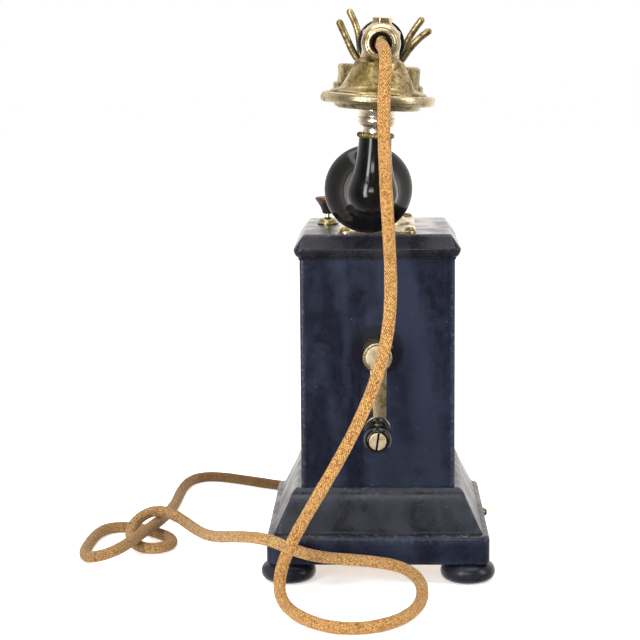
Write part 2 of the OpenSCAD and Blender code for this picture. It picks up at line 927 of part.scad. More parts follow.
// Uniform cubic spline through the spans of a route, with its ends held.
function held(p) = concat([2 * p[0] - p[1]], p, [2 * p[len(p) - 1] - p[len(p) - 2]]);
function spline_at(q, i, t) =
    (pow(1 - t, 3) * q[i] + (3 * pow(t, 3) - 6 * t * t + 4) * q[i + 1]
    + (-3 * pow(t, 3) + 3 * t * t + 3 * t + 1) * q[i + 2] + pow(t, 3) * q[i + 3]) / 6;
function spline(p, n) =
    let (q = held(p))
        concat([for (i = [0 : len(q) - 4]) for (k = [0 : n - 1]) spline_at(q, i, k / n)], [p[len(p) - 1]]);
function unit(v) = v / norm(v);
function tangents(c) = [for (i = [0 : len(c) - 1]) unit(c[min(i + 1, len(c) - 1)] - c[max(i - 1, 0)])];
function carried(u, t) = unit(u - (u * t) * t);
function normals(t) = [for (i = 0, u = carried([1, 0, 0], t[0]); i < len(t);
    i = i + 1, u = i < len(t) ? carried(u, t[i]) : u) u];

// Tube swept along a list of centres, from ring a to ring b.
module swept_tube(c, r, a, b, n = cord_sides) {
    t = tangents(c);
    u = normals(t);
    rings = b - a + 1;
    points = [for (i = [a : b]) for (k = [0 : n - 1])
        c[i] + r * cos(360 * k / n) * u[i] + r * sin(360 * k / n) * cross(t[i], u[i])];
    sides = [for (i = [0 : rings - 2]) for (k = [0 : n - 1])
        [i * n + k, (i + 1) * n + k, (i + 1) * n + (k + 1) % n, i * n + (k + 1) % n]];
    first = [for (k = [0 : n - 1]) k];
    last = [for (k = [n - 1 : -1 : 0]) (rings - 1) * n + k];
    polyhedron(points, concat([first, last], sides), convexity = 10);
}

cord_centres = spline(CORD_ROUTE, rings_per_span);
module cord_hanging() {
    color(cotton)
    swept_tube(cord_centres, cord_d / 2, 0, cord_split);
}
module cord_floor() {
    color(cotton)
    swept_tube(cord_centres, cord_d / 2, cord_split, len(cord_centres) - 1);
}

bun_foot(-foot_x, -foot_y);  // foot_near_left
bun_foot(foot_x, -foot_y);  // foot_near_right
bun_foot(-foot_x, foot_y);  // foot_far_left
bun_foot(foot_x, foot_y);  // foot_far_right
plinth();
bottom_board();
base_moulding();
near_panel();
far_panel();
side_panel(-box_w / 2);  // left_panel
side_panel(box_w / 2 - panel_t);  // right_panel
lid();
cradle_plate();
plate_screws();
column_flange();
column_tube();
button_rosette();
crank_bushing();
generator_frame();
horseshoe_magnets();
generator_shelf();
ringer_frame();
ringer_coils();
gongs();
induction_coil();
capacitor();
terminal_block();
switch_springs();
cord_gland();
side_screw();
crank_shaft();
drive_gear();
crank_arm();
knob_pin();
crank_knob();
armature();
armature_shaft();
pinion();
plunger();
cradle_beam();
fork(-fork_y, near_wire);  // near_fork
fork(fork_y, far_wire);  // far_fork
clapper();
button_stem();
button_knob();
grip_tube();
grip_collars();
transmitter_head();
head_nut();
transmitter_cone();
transmitter_rim();
carbon_capsule();
mouthpiece_neck();
knurled_collar();
horn();
receiver_head();
receiver_cup();
receiver_cap();
cord_hanging();
cord_floor();
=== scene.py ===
from math import cos, pi, radians, sin, tan
import random

import bmesh
import bpy
import numpy as np
from mathutils import Matrix, Vector


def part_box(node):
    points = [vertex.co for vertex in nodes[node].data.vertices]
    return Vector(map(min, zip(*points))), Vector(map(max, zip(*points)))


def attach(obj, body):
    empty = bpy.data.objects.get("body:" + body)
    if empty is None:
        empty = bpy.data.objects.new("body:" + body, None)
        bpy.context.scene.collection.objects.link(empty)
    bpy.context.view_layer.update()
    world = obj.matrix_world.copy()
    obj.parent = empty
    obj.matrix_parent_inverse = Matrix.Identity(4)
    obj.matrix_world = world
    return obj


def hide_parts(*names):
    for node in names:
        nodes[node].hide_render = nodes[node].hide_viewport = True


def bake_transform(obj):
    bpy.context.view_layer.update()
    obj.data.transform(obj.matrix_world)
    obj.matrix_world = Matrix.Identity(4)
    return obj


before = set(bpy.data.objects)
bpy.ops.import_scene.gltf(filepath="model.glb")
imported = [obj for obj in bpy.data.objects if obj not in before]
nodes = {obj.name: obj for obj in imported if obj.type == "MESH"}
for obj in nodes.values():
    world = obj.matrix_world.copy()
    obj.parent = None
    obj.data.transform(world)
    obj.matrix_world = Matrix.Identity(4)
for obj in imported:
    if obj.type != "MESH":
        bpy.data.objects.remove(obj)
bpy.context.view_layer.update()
MM = 0.001
dice = random.Random(7)   # the cord's uneven thickness


# ---- Camera ----

camera = bpy.data.objects.new("camera", bpy.data.cameras.new("camera"))
bpy.context.scene.collection.objects.link(camera)
bpy.context.scene.camera = camera
camera.data.sensor_width = 36
camera.data.lens = 111.1
camera.data.clip_start, camera.data.clip_end = 0.05, 50
turn = Matrix.Rotation(radians(1.751), 4, "Z") @ Matrix.Rotation(radians(90 - 8.04), 4, "X")
camera.matrix_world = (
    Matrix.Translation((0.00144, -1.23085, 0.32363)) @ turn @ Matrix.Rotation(radians(-0.419), 4, "Z")
)
bpy.context.scene.view_settings.view_transform = "Standard"


# ---- Mesh tools, in millimetres ----

def build(name, verts, faces, body, material, slot, stands_for=(), angle=35, layers=None, uv=None):
    """A piece from vertices and faces in millimetres, riding on a CAD body."""
    mesh = bpy.data.meshes.new(name)
    mesh.from_pydata([(x * MM, y * MM, z * MM) for x, y, z in verts], [], faces)
    for key, values in (layers or {}).items():
        layer = mesh.attributes.new(key, "FLOAT", "POINT")
        layer.data.foreach_set("value", values)
    if uv:
        loops = mesh.uv_layers.new(name="UVMap")
        loops.data.foreach_set("uv", [c for face in uv for corner in face for c in corner])
    else:
        work = bmesh.new()
        work.from_mesh(mesh)
        bmesh.ops.recalc_face_normals(work, faces=work.faces)
        work.to_mesh(mesh)
        work.free()
    mesh.shade_smooth()
    mesh.set_sharp_from_angle(angle=radians(angle))
    piece = bpy.data.objects.new(name, mesh)
    bpy.context.scene.collection.objects.link(piece)
    mesh.materials.append(material)
    if body:
        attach(piece, body)
    if stands_for:
        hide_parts(*stands_for)
    return piece


def rounded(points, radius=0.4, steps=4, closed=False):
    """A profile with its corners rounded. A point's own radius may follow its two coordinates."""
    out = []
    count = len(points)
    for i, p in enumerate(points):
        here = Vector(p[:2])
        r = p[2] if len(p) > 2 else radius
        if (not closed and i in (0, count - 1)) or r <= 0:
            out.append(tuple(here))
            continue
        before = Vector(points[i - 1][:2]) - here
        after = Vector(points[(i + 1) % count][:2]) - here
        if before.length < 1e-6 or after.length < 1e-6:
            out.append(tuple(here))
            continue
        half = before.angle(after) / 2
        if half > radians(86):
            out.append(tuple(here))
            continue
        reach = min(r / tan(half), 0.45 * before.length, 0.45 * after.length)
        a = here + before.normalized() * reach
        b = here + after.normalized() * reach
        for k in range(steps + 1):
            t = k / steps
            out.append(tuple(a * (1 - t) ** 2 + here * 2 * t * (1 - t) + b * t * t))
    return out


def smooth_curve(points, per_span=6):
    """An interpolating curve through 2-D points."""
    p = [Vector(q) for q in points]
    p = [2 * p[0] - p[1]] + p + [2 * p[-1] - p[-2]]
    out = []
    for i in range(1, len(p) - 2):
        for k in range(per_span):
            t = k / per_span
            out.append(tuple(0.5 * (
                2 * p[i] + (p[i + 1] - p[i - 1]) * t
                + (2 * p[i - 1] - 5 * p[i] + 4 * p[i + 1] - p[i + 2]) * t * t
                + (3 * p[i] - p[i - 1] - 3 * p[i + 1] + p[i + 2]) * t ** 3
            )))
    out.append(tuple(p[-2]))
    return out


def turned(profile, place=None, closed=False, sides=96, wobble=None):
    """A profile of (radius, height) turned about Z and placed. wobble(angle, radius) adds to the radius."""
    verts, faces, rings = [], [], []
    for r, z in profile:
        if r < 1e-5:
            rings.append([len(verts)])
            verts.append(Vector((0, 0, z)))
        else:
            rings.append(list(range(len(verts), len(verts) + sides)))
            for k in range(sides):
                a = 2 * pi * k / sides
                rr = r + (wobble(a, r) if wobble else 0)
                verts.append(Vector((rr * cos(a), rr * sin(a), z)))
    pairs = list(zip(rings, rings[1:] + rings[:1]))
    for a, b in pairs if closed else pairs[:-1]:
        if len(a) == 1 and len(b) == 1:
            continue
        for k in range(sides):
            n = (k + 1) % sides
            if len(a) == 1:
                faces.append((a[0], b[k], b[n]))
            elif len(b) == 1:
                faces.append((a[k], a[n], b[0]))
            else:
                faces.append((a[k], a[n], b[n], b[k]))
    if place is not None:
        verts = [place @ v for v in verts]
    return [tuple(v) for v in verts], faces


CORNER_STEPS = 5
CORNER_MARGIN = 1.6   # a flat point this far past each corner keeps its wear local


def corner_loop(hw, hd, r, z, wear, corner_wear):
    """One level of a rounded rectangle: points with their share of wear."""
    pts = []
    for sx, sy, start in ((1, 1, 0), (-1, 1, 90), (-1, -1, 180), (1, -1, 270)):
        centre = (sx * (hw - r), sy * (hd - r))
        for k in range(-1, CORNER_STEPS + 2):
            a = radians(start + 90 * min(max(k, 0), CORNER_STEPS) / CORNER_STEPS)
            x = centre[0] + r * cos(a)
            y = centre[1] + r * sin(a)
            if k == -1:
                x, y = x + CORNER_MARGIN * sin(a), y - CORNER_MARGIN * cos(a)
            elif k == CORNER_STEPS + 1:
                x, y = x - CORNER_MARGIN * sin(a), y + CORNER_MARGIN * cos(a)
            on_corner = 0 <= k <= CORNER_STEPS
            pts.append((x, y, z, max(wear, corner_wear if on_corner else 0)))
    return pts


def lofted(levels, closed=False, corner_wear=1.0):
    """A solid through rounded rectangles. A level is (half width, half depth, z, corner radius, wear)."""
    verts, faces, wears = [], [], []
    for hw, hd, z, r, wear in levels:
        for x, y, zz, w in corner_loop(hw, hd, r, z, wear, corner_wear):
            verts.append((x, y, zz))
            wears.append(w)
    n = len(verts) // len(levels)
    spans = range(len(levels) if closed else len(levels) - 1)
    for i in spans:
        a, b = i * n, ((i + 1) % len(levels)) * n
        for k in range(n):
            m = (k + 1) % n
            faces.append((a + k, a + m, b + m, b + k))
    if not closed:
        faces.append(tuple(reversed(range(n))))
        faces.append(tuple(range(len(verts) - n, len(verts))))
    return verts, faces, wears


def edged(profile, hw, hd, corner, closed=False):
    """Levels for lofted() from a profile of (inset, z, wear, radius), with its corners rounded."""
    levels = []
    for i, p in enumerate(profile):
        here = Vector(p[:2])
        ends = not closed and i in (0, len(profile) - 1)
        before = Vector(profile[i - 1][:2]) - here
        after = Vector(profile[(i + 1) % len(profile)][:2]) - here
        wear = p[2]
        radius = min(p[3], 0.4 * before.length, 0.4 * after.length)
        if ends or radius < 0.02:
            levels.append((here.x, here.y, wear))
            continue
        a = here + before.normalized() * radius
        b = here + after.normalized() * radius
        guard = min(2.2 * radius, 0.45 * before.length)
        if guard > 1.1 * radius:
            q = here + before.normalized() * guard
            levels.append((q.x, q.y, 0))
        for k in range(4):
            t = k / 3
            q = a * (1 - t) ** 2 + here * 2 * t * (1 - t) + b * t * t
            levels.append((q.x, q.y, wear))
        guard = min(2.2 * radius, 0.45 * after.length)
        if guard > 1.1 * radius:
            q = here + after.normalized() * guard
            levels.append((q.x, q.y, 0))
    return [(hw - inset, hd - inset, z, max(corner - inset, 0.6), w) for inset, z, w in levels]


CAP_ANGLES = (0.3, 0.6, 0.9, 1.2, 1.45)


def swept(centres, radii, sides, round_ends=True):
    """Vertices and faces of a tube along centres, with its frame carried along."""
    pts = [Vector(c) for c in centres]
    tang = [(pts[min(i + 1, len(pts) - 1)] - pts[max(i - 1, 0)]).normalized() for i in range(len(pts))]
    side = tang[0].orthogonal().normalized()
    rows = []
    for p, t, r in zip(pts, tang, radii):
        side = (side - t * side.dot(t)).normalized()
        rows.append((p, t, side, r))
    if round_ends:
        p, t, s, r = rows[0]
        caps = [(p - t * r * sin(a), t, s, r * cos(a)) for a in reversed(CAP_ANGLES)]
        p, t, s, r = rows[-1]
        tail = [(p + t * r * sin(a), t, s, r * cos(a)) for a in CAP_ANGLES]
        rows = caps + rows + tail
    verts, faces = [], []
    for p, t, s, r in rows:
        other = t.cross(s)
        for k in range(sides):
            a = 2 * pi * k / sides
            verts.append(tuple(p + (s * cos(a) + other * sin(a)) * r))
    for i in range(len(rows) - 1):
        for k in range(sides):
            n = (k + 1) % sides
            faces.append((i * sides + k, i * sides + n, (i + 1) * sides + n, (i + 1) * sides + k))
    faces.append(tuple(reversed(range(sides))))
    faces.append(tuple(range(len(verts) - sides, len(verts))))
    return verts, faces


def carve(piece, *cutters):
    """Cuts meshes of (vertices, faces) in millimetres out of a piece."""
    for verts, faces in cutters:
        mesh = bpy.data.meshes.new("cutter")
        mesh.from_pydata([(x * MM, y * MM, z * MM) for x, y, z in verts], [], faces)
        work = bmesh.new()
        work.from_mesh(mesh)
        bmesh.ops.recalc_face_normals(work, faces=work.faces)
        work.to_mesh(mesh)
        work.free()
        tool = bpy.data.objects.new("cutter", mesh)
        bpy.context.scene.collection.objects.link(tool)
        cut = piece.modifiers.new("cut", "BOOLEAN")
        cut.operation, cut.solver, cut.object = "DIFFERENCE", "EXACT", tool
        bpy.context.view_layer.update()
        result = bpy.data.meshes.new_from_object(piece.evaluated_get(bpy.context.evaluated_depsgraph_get()))
        piece.modifiers.clear()
        piece.data = result
        bpy.data.objects.remove(tool)
    piece.data.shade_smooth()
    piece.data.set_sharp_from_angle(angle=radians(35))
    return piece


def bevelled(piece, width, segments):
    """Rounds a piece's edges for good."""
    work = bmesh.new()
    work.from_mesh(piece.data)
    edges = [
        e for e in work.edges
        if len(e.link_faces) == 2 and e.calc_face_angle() > radians(30)
    ]
    bmesh.ops.bevel(
        work, geom=edges, offset=width * MM, segments=segments, profile=0.5, affect="EDGES",
        clamp_overlap=True,
    )
    work.to_mesh(piece.data)
    work.free()
    piece.data.shade_smooth()
    piece.data.set_sharp_from_angle(angle=radians(40))
    return piece


def brick(w, d, h, place):
    """A box of those sizes about its own centre, placed."""
    ring = ((-1, -1), (1, -1), (1, 1), (-1, 1))
    corners = [(sx * w / 2, sy * d / 2, sz * h / 2) for sz in (-1, 1) for sx, sy in ring]
    faces = [(3, 2, 1, 0), (4, 5, 6, 7), (0, 1, 5, 4), (1, 2, 6, 5), (2, 3, 7, 6), (3, 0, 4, 7)]
    return [tuple(place @ Vector(c)) for c in corners], faces


def prism(outline, z0, z1, place):
    """An outline of (x, y) points extruded from z0 to z1, placed."""
    n = len(outline)
    verts = [tuple(place @ Vector((x, y, z))) for z in (z0, z1) for x, y in outline]
    faces = [tuple(reversed(range(n))), tuple(range(n, 2 * n))]
    faces += [(k, (k + 1) % n, n + (k + 1) % n, n + k) for k in range(n)]
    return verts, faces


def drill(r, z0, z1, place=None, sides=64):
    """A cutter for a round hole along Z, placed."""
    return turned([(0, z0), (r, z0), (r, z1), (0, z1)], place, sides=sides)


def framed(name, levels, body, material, slot, stands_for, closed=False, corner_wear=1.0):
    """A piece through the rounded rectangles that edged() gives, with its wear."""
    verts, faces, wear = lofted(levels, closed, corner_wear)
    return build(name, verts, faces, body, material, slot, stands_for, layers={"wear": wear})


ALONG_Y = Matrix.Rotation(radians(90), 4, "X")   # turns +Z to -Y


def facing(x, z, y=0.0):
    """Place whose +Z points to -Y, at that X and Z; heights count from Y."""
    return Matrix.Translation((x, y, z)) @ ALONG_Y


def moved(x, y, z):
    """Place moved by that much, in millimetres."""
    return Matrix.Translation((x, y, z))


def spun(degrees, axis):
    """Place turned about an axis through the origin."""
    return Matrix.Rotation(radians(degrees), 4, axis)


# ---- Materials ----

class Paint:
    """A procedural material on one Principled shader. Points are in metres, in the piece's own frame."""

    def __init__(self, name, source="Object", **flat):
        self.material = bpy.data.materials.new(name)
        self.material.use_nodes = True
        self.tree = self.material.node_tree
        self.tree.nodes.clear()
        out = self.tree.nodes.new("ShaderNodeOutputMaterial")
        self.bsdf = self.tree.nodes.new("ShaderNodeBsdfPrincipled")
        self.tree.links.new(self.bsdf.outputs[0], out.inputs[0])
        for key, value in flat.items():
            self.bsdf.inputs[key.replace("_", " ")].default_value = value
        if source == "Object":
            self.at = self.tree.nodes.new("ShaderNodeTexCoord").outputs["Object"]
        else:
            self.at = self.attribute(source, "Vector")
        self.height = None

    def node(self, kind, inputs=(), **settings):
        made = self.tree.nodes.new("ShaderNode" + kind)
        for key, value in settings.items():
            setattr(made, key, value)
        for key, value in dict(inputs).items():
            self.feed(made.inputs[key], value)
        return made

    def feed(self, socket, value):
        if isinstance(value, bpy.types.NodeSocket):
            self.tree.links.new(value, socket)
        elif isinstance(value, tuple) and len(value) == 3 and socket.type == "RGBA":
            socket.default_value = (*value, 1)
        else:
            socket.default_value = value

    def attribute(self, name, output="Fac"):
        return self.node("Attribute", attribute_name=name).outputs[output]

    def stretch(self, x, y, z):
        return self.node("Mapping", {"Vector": self.at, "Scale": (x, y, z)}).outputs[0]

    def noise(self, scale, detail=4, rough=0.55, warp=0.0, at=None):
        return self.node("TexNoise", {
            "Vector": at or self.at, "Scale": scale, "Detail": detail, "Roughness": rough, "Distortion": warp
        }).outputs["Fac"]

    def cells(self, scale):
        return self.node("TexVoronoi", {"Vector": self.at, "Scale": scale}).outputs["Distance"]

    def calc(self, operation, a, b=0.5, clamp=False):
        """One Math node. b is ignored where the operation takes one value."""
        made = self.node("Math", operation=operation, use_clamp=clamp)
        self.feed(made.inputs[0], a)
        self.feed(made.inputs[1], b)
        return made.outputs[0]

    def times(self, a, b, clamp=False):
        return self.calc("MULTIPLY", a, b, clamp)

    def plus(self, a, b):
        return self.calc("ADD", a, b)

    def minus(self, a, b):
        return self.calc("SUBTRACT", a, b)

    def levels(self, value, low, high):
        """0 at low and 1 at high, and the other way round where low is the higher."""
        return self.node("MapRange", {
            "Value": value, "From Min": low, "From Max": high, "To Min": 0.0, "To Max": 1.0
        }).outputs["Result"]

    def mix(self, share, a, b):
        made = self.node("Mix", data_type="RGBA")
        for index, value in ((0, share), (6, a), (7, b)):
            self.feed(made.inputs[index], value)
        return made.outputs[2]

    def over(self, colour, tone, share, strength):
        """The colour with a tone laid over it, by share times strength."""
        return self.mix(self.times(share, strength), colour, tone)

    def blend(self, share, a, b):
        """A number from a to b by share."""
        return self.plus(self.times(share, b - a), a)

    def split(self, vector=None):
        made = self.node("SeparateXYZ", {"Vector": vector or self.at})
        return made.outputs

    def raise_by(self, height, strength, distance):
        """Adds relief of that depth in metres."""
        made = self.node("Bump", {"Height": height, "Strength": strength, "Distance": distance})
        if self.height is not None:
            self.tree.links.new(self.height, made.inputs["Normal"])
        self.height = made.outputs[0]

    def done(self, colour=None, roughness=None):
        if colour is not None:
            self.feed(self.bsdf.inputs["Base Color"], colour)
        if roughness is not None:
            self.feed(self.bsdf.inputs["Roughness"], roughness)
        if self.height is not None:
            self.tree.links.new(self.height, self.bsdf.inputs["Normal"])
        return self.material


LACQUER_BODY, LACQUER_HAZE = (0.003, 0.0035, 0.011), (0.011, 0.017, 0.038)


def lacquer(name, body=LACQUER_BODY, haze=LACQUER_HAZE, gloss=0.3, seam=None, halo=None, dusty=0.0):
    """Lacquer over wood: brush marks, haze, scratches, dust specks and worn edges.

    seam is the height in metres of a joint with dirt in it. halo is the (x, z) in metres
    of a round spot on the front that is painted darker.
    """
    p = Paint(name, Specular_IOR_Level=0.22, Coat_Weight=0.06, Coat_Roughness=0.12)
    bands = p.noise(42, 3, 0.5, 0.6, at=p.stretch(1, 1, 0.12))
    smudge = p.noise(75, 6, 0.7, 0.6)
    grain = p.noise(460, 5, 0.7, at=p.stretch(1, 1, 0.5))
    cloudy = p.levels(p.plus(p.times(bands, 0.62), p.times(smudge, 0.38)), 0.43, 0.57)
    colour = p.mix(cloudy, body, haze)
    colour = p.over(colour, tuple(0.85 * c for c in haze), p.levels(grain, 0.42, 0.68), 0.5)
    specks = p.levels(p.cells(310), 0.13, 0.05)
    rare = p.levels(p.noise(150, 2), 0.54 - 0.1 * dusty, 0.62)
    dust = p.times(specks, rare)
    colour = p.over(colour, (0.17, 0.16, 0.15), dust, 0.5)
    if halo is not None:
        # A round spot about the crank axis on the front is painted darker.
        x, y, z = p.split()
        across = p.calc("POWER", p.minus(x, halo[0]), 2.0)
        up = p.calc("POWER", p.minus(z, halo[1]), 2.0)
        reach = p.calc("SQRT", p.plus(across, up), 0.0)
        dark_disc = p.levels(p.plus(reach, p.times(p.noise(160, 3), 0.002)), 0.0175, 0.0155)
        dark_disc = p.times(dark_disc, p.calc("LESS_THAN", y, -0.04))
        colour = p.over(colour, (0.0035, 0.003, 0.007), dark_disc, 0.75)
    worn = p.attribute("wear")
    chips = p.levels(p.noise(420, 5, 0.7), 0.5, 0.68)
    rub = p.times(worn, p.plus(p.times(chips, 0.8), 0.12), True)
    colour = p.over(colour, (0.105, 0.115, 0.135), rub, 0.7)
    bare = p.times(p.calc("GREATER_THAN", worn, 0.8), p.levels(p.noise(700, 4, 0.7), 0.63, 0.72))
    colour = p.over(colour, (0.30, 0.24, 0.16), bare, 0.4)
    if seam is not None:
        height = p.split()[2]
        near = p.levels(p.calc("ABSOLUTE", p.minus(height, seam)), 0.0006, 0.0001)
        crumbs = p.levels(p.noise(520, 5, 0.7), 0.54, 0.66)
        dirt = p.times(near, crumbs)
        colour = p.over(colour, (0.30, 0.22, 0.11), dirt, 0.85)
    rough = p.blend(cloudy, gloss, gloss + 0.16)
    rough = p.plus(rough, p.times(dust, 0.2))
    p.raise_by(p.noise(120, 4, 0.5, at=p.stretch(1, 1, 0.35)), 0.12, 0.0006)
    p.raise_by(p.noise(900, 3, 0.6), 0.22, 0.00012)
    p.raise_by(p.levels(p.noise(60, 8, 0.75, 1.5, at=p.stretch(14, 14, 1)), 0.66, 0.7), 0.25, 0.00008)
    return p.done(colour, rough)


def aged_metal(name, bright, dull, tarnish=0.5, gloss=0.27, scale=1.0, metal=1.0):
    """Worn plating: bright patches, brown tarnish, pits and a fine grain."""
    p = Paint(name, Metallic=metal)
    patches = p.noise(95 * scale, 6, 0.62, 0.5)
    mottle = p.noise(520 * scale, 6, 0.7, 0.2)
    both = p.plus(p.times(patches, 0.55), p.times(mottle, 0.45))
    share = p.levels(both, 0.59 - 0.22 * tarnish, 0.69 - 0.18 * tarnish)
    colour = p.mix(share, bright, dull)
    tint = p.levels(p.noise(40 * scale, 3), 0.4, 0.65)
    yellowed = tuple(0.5 * (a + b) * c for a, b, c in zip(bright, dull, (1.0, 0.96, 0.72)))
    colour = p.over(colour, yellowed, tint, 0.35)
    pits = p.levels(p.cells(1150 * scale), 0.30, 0.12)
    pocked = p.times(pits, p.levels(p.noise(230 * scale, 3), 0.47, 0.6))
    colour = p.over(colour, tuple(0.35 * c for c in dull), pocked, 0.5 + 0.3 * tarnish)
    rough = p.plus(p.blend(share, gloss, gloss + 0.2), p.times(pocked, 0.15))
    p.raise_by(p.noise(300 * scale, 4, 0.6), 0.3, 0.0002)
    p.raise_by(p.minus(1.0, pocked), 0.35, 0.00012)
    return p.done(colour, rough)


def hard_rubber(name, gloss=0.1):
    """Polished hard rubber with handling haze and hairline scratches."""
    p = Paint(name, Specular_IOR_Level=0.35)
    haze = p.levels(p.noise(110, 5, 0.65, 0.5), 0.42, 0.7)
    colour = p.mix(haze, (0.0015, 0.0015, 0.002), (0.005, 0.004, 0.003))
    marks = p.levels(p.noise(330, 5, 0.75, 0.8, at=p.stretch(3, 1, 0.5)), 0.6, 0.66)
    rough = p.plus(p.blend(haze, gloss, gloss + 0.12), p.times(marks, 0.1))
    p.raise_by(p.noise(160, 3), 0.12, 0.0003)
    p.raise_by(marks, 0.12, 0.00004)
    return p.done(colour, rough)


def brown_topped(name):
    """Two-colour push knob: red-brown composition at the top, black below."""
    p = Paint(name, Specular_IOR_Level=0.5)
    z = p.plus(p.split()[2], p.times(p.noise(300, 3), 0.0012))
    top = p.levels(z, BUTTON_SEAM_Z * MM, (BUTTON_SEAM_Z + 0.9) * MM)
    grain = p.noise(800, 5, 0.7)
    brown = p.mix(grain, (0.035, 0.014, 0.007), (0.09, 0.035, 0.016))
    colour = p.mix(top, (0.012, 0.011, 0.012), brown)
    p.raise_by(grain, 0.25, 0.0001)
    return p.done(colour, p.blend(grain, 0.28, 0.45))


def bare_wood(name):
    """Unfinished deal with growth rings and pores."""
    p = Paint(name)
    rings = p.noise(28, 6, 0.6, 1.2, at=p.stretch(0.35, 3, 5))
    grain = p.noise(240, 5, 0.7, at=p.stretch(0.15, 4, 4))
    colour = p.mix(p.levels(rings, 0.35, 0.65), (0.36, 0.23, 0.12), (0.52, 0.36, 0.2))
    colour = p.over(colour, (0.22, 0.13, 0.06), p.levels(grain, 0.5, 0.75), 0.5)
    p.raise_by(grain, 0.4, 0.0002)
    return p.done(colour, p.blend(grain, 0.55, 0.8))


def wound_wire(name, light, dark):
    """Rows of wound, varnished wire."""
    p = Paint(name, Specular_IOR_Level=0.4)
    rows = p.calc("SINE", p.times(p.split()[1], 9000.0))
    turns = p.levels(p.plus(rows, p.times(p.noise(160, 3), 0.8)), -1.0, 1.6)
    # The grooves between turns are painted darker than the crests: painted shade.
    colour = p.mix(turns, dark, light)
    p.raise_by(turns, 0.5, 0.0003)
    return p.done(colour, p.blend(turns, 0.6, 0.38))


BRAID_STRANDS = 16.0         # round the cord
BRAID_PITCH = 1.0 / 0.0019   # strands of one family in a metre of cord


def cotton_braid(name):
    """Braided cotton: two families of strands cross over and under. Soiled, and darker at its far end."""
    p = Paint(name, source="rest_at", Sheen_Weight=0.1, Sheen_Roughness=0.5, Specular_IOR_Level=0.15)
    flat_at = p.node("TexCoord").outputs["UV"]
    around, along = p.split(flat_at)[0:2]
    slant = p.times(along, BRAID_PITCH)
    wrap = p.times(around, BRAID_STRANDS)
    sway = p.times(p.noise(160, 2), 0.3)
    one = p.plus(p.plus(wrap, slant), sway)
    two = p.minus(p.minus(wrap, slant), sway)
    over = p.calc("PINGPONG", p.plus(p.calc("FLOOR", one), p.calc("FLOOR", two)), 1.0)
    ridge_one = p.calc("SINE", p.times(p.calc("FRACT", one), pi))
    ridge_two = p.calc("SINE", p.times(p.calc("FRACT", two), pi))
    under = p.minus(1.0, over)
    relief = p.plus(p.times(ridge_one, over), p.times(ridge_two, under))
    fibres = p.noise(2600, 3, 0.7)
    stain = p.levels(p.noise(55, 5, 0.65, 0.4), 0.4, 0.7)
    yarn = p.levels(p.noise(800, 5, 0.85), 0.43, 0.57)
    golden = p.mix(yarn, (0.24, 0.075, 0.01), (0.80, 0.48, 0.15))
    pale = p.mix(yarn, (0.26, 0.115, 0.022), (0.78, 0.53, 0.24))
    far_end_dark = p.mix(yarn, (0.04, 0.018, 0.004), (0.18, 0.09, 0.022))
    share = p.calc("DIVIDE", along, CORD_LENGTH)
    colour = p.mix(p.levels(share, 0.3, 0.46), golden, pale)
    tired = p.levels(p.plus(share, p.times(p.noise(30, 3), 0.06)), 0.50, 0.64)
    faded = p.mix(yarn, (0.13, 0.06, 0.014), (0.44, 0.27, 0.10))
    colour = p.over(colour, faded, tired, 0.75)
    # The cord is painted darker toward its far end.
    colour = p.mix(p.levels(share, 0.80, 0.875), colour, far_end_dark)
    colour = p.over(colour, (0.36, 0.2, 0.07), stain, 0.3)
    # The hollows between the strands are painted dark: painted shade.
    gap_shade = p.levels(relief, 0.85, 0.15)
    colour = p.over(colour, (0.16, 0.055, 0.01), gap_shade, 0.9)
    spots = p.times(p.levels(p.cells(150), 0.19, 0.12), p.levels(p.noise(45, 2), 0.51, 0.56))
    colour = p.over(colour, (0.05, 0.028, 0.012), spots, 0.85)
    p.raise_by(relief, 1.0, 0.00045)
    p.raise_by(fibres, 0.35, 0.00012)
    return p.done(colour, p.blend(fibres, 0.72, 0.92))


# ---- Cord ----

CORD_D = 7.4
LIE = CORD_D / 2
GLAND_X, GLAND_Y = -20, 81.25
ROUTE = [
    (3, -98, 321), (3, -113, 321), (6, -131, 316), (3, -128, 286), (6, -130, 223), (10, -133, 164),
    (-8, -132, 112), (-33, -128, 68), (-51, -119, 36), (-59, -117, 13), (-54, -147, LIE), (-23, -187, LIE),
    (13, -171, LIE), (30, -118, LIE), (20, -81, 16), (-42, -85, 17), (-62, -87, 31), (-88, -66, 27),
    (-110, -13, 12), (-130, 24, 18), (-148, 30, 22), (-163, 15, 12), (-156, -7, LIE), (-137, -8, LIE),
    (-130, 14, LIE), (-145, 34, LIE), (-164, 51, LIE), (-184, 49, LIE), (-187, 4, LIE), (-186, -36, LIE),
    (-162, -42, 10), (-149, 4, 13.6), (-142, 37, 12), (-141, 117, LIE), (-143, 190, LIE), (-124, 213, LIE),
    (-74, 172, LIE), (-19, 150, LIE), (-20, 104, 20), (GLAND_X, GLAND_Y, 20),
]


def spline(points, per_span):
    """The CAD cord's own curve: a uniform cubic spline with its ends held."""
    p = [np.array(q, float) for q in points]
    p = [2 * p[0] - p[1]] + p + [2 * p[-1] - p[-2]]
    out = []
    for i in range(len(p) - 3):
        for k in range(per_span):
            t = k / per_span
            out.append((
                (1 - t) ** 3 * p[i] + (3 * t ** 3 - 6 * t * t + 4) * p[i + 1]
                + (-3 * t ** 3 + 3 * t * t + 3 * t + 1) * p[i + 2] + t ** 3 * p[i + 3]
            ) / 6)
    out.append(np.array(points[-1], float))
    return out


def even(points, step):
    """The same line with its points that far apart."""
    p = np.array(points)
    run = np.concatenate([[0], np.cumsum(np.linalg.norm(np.diff(p, axis=0), axis=1))])
    at = np.linspace(0, run[-1], int(run[-1] / step) + 1)
    return np.stack([np.interp(at, run, p[:, i]) for i in range(3)], axis=1), run[-1]


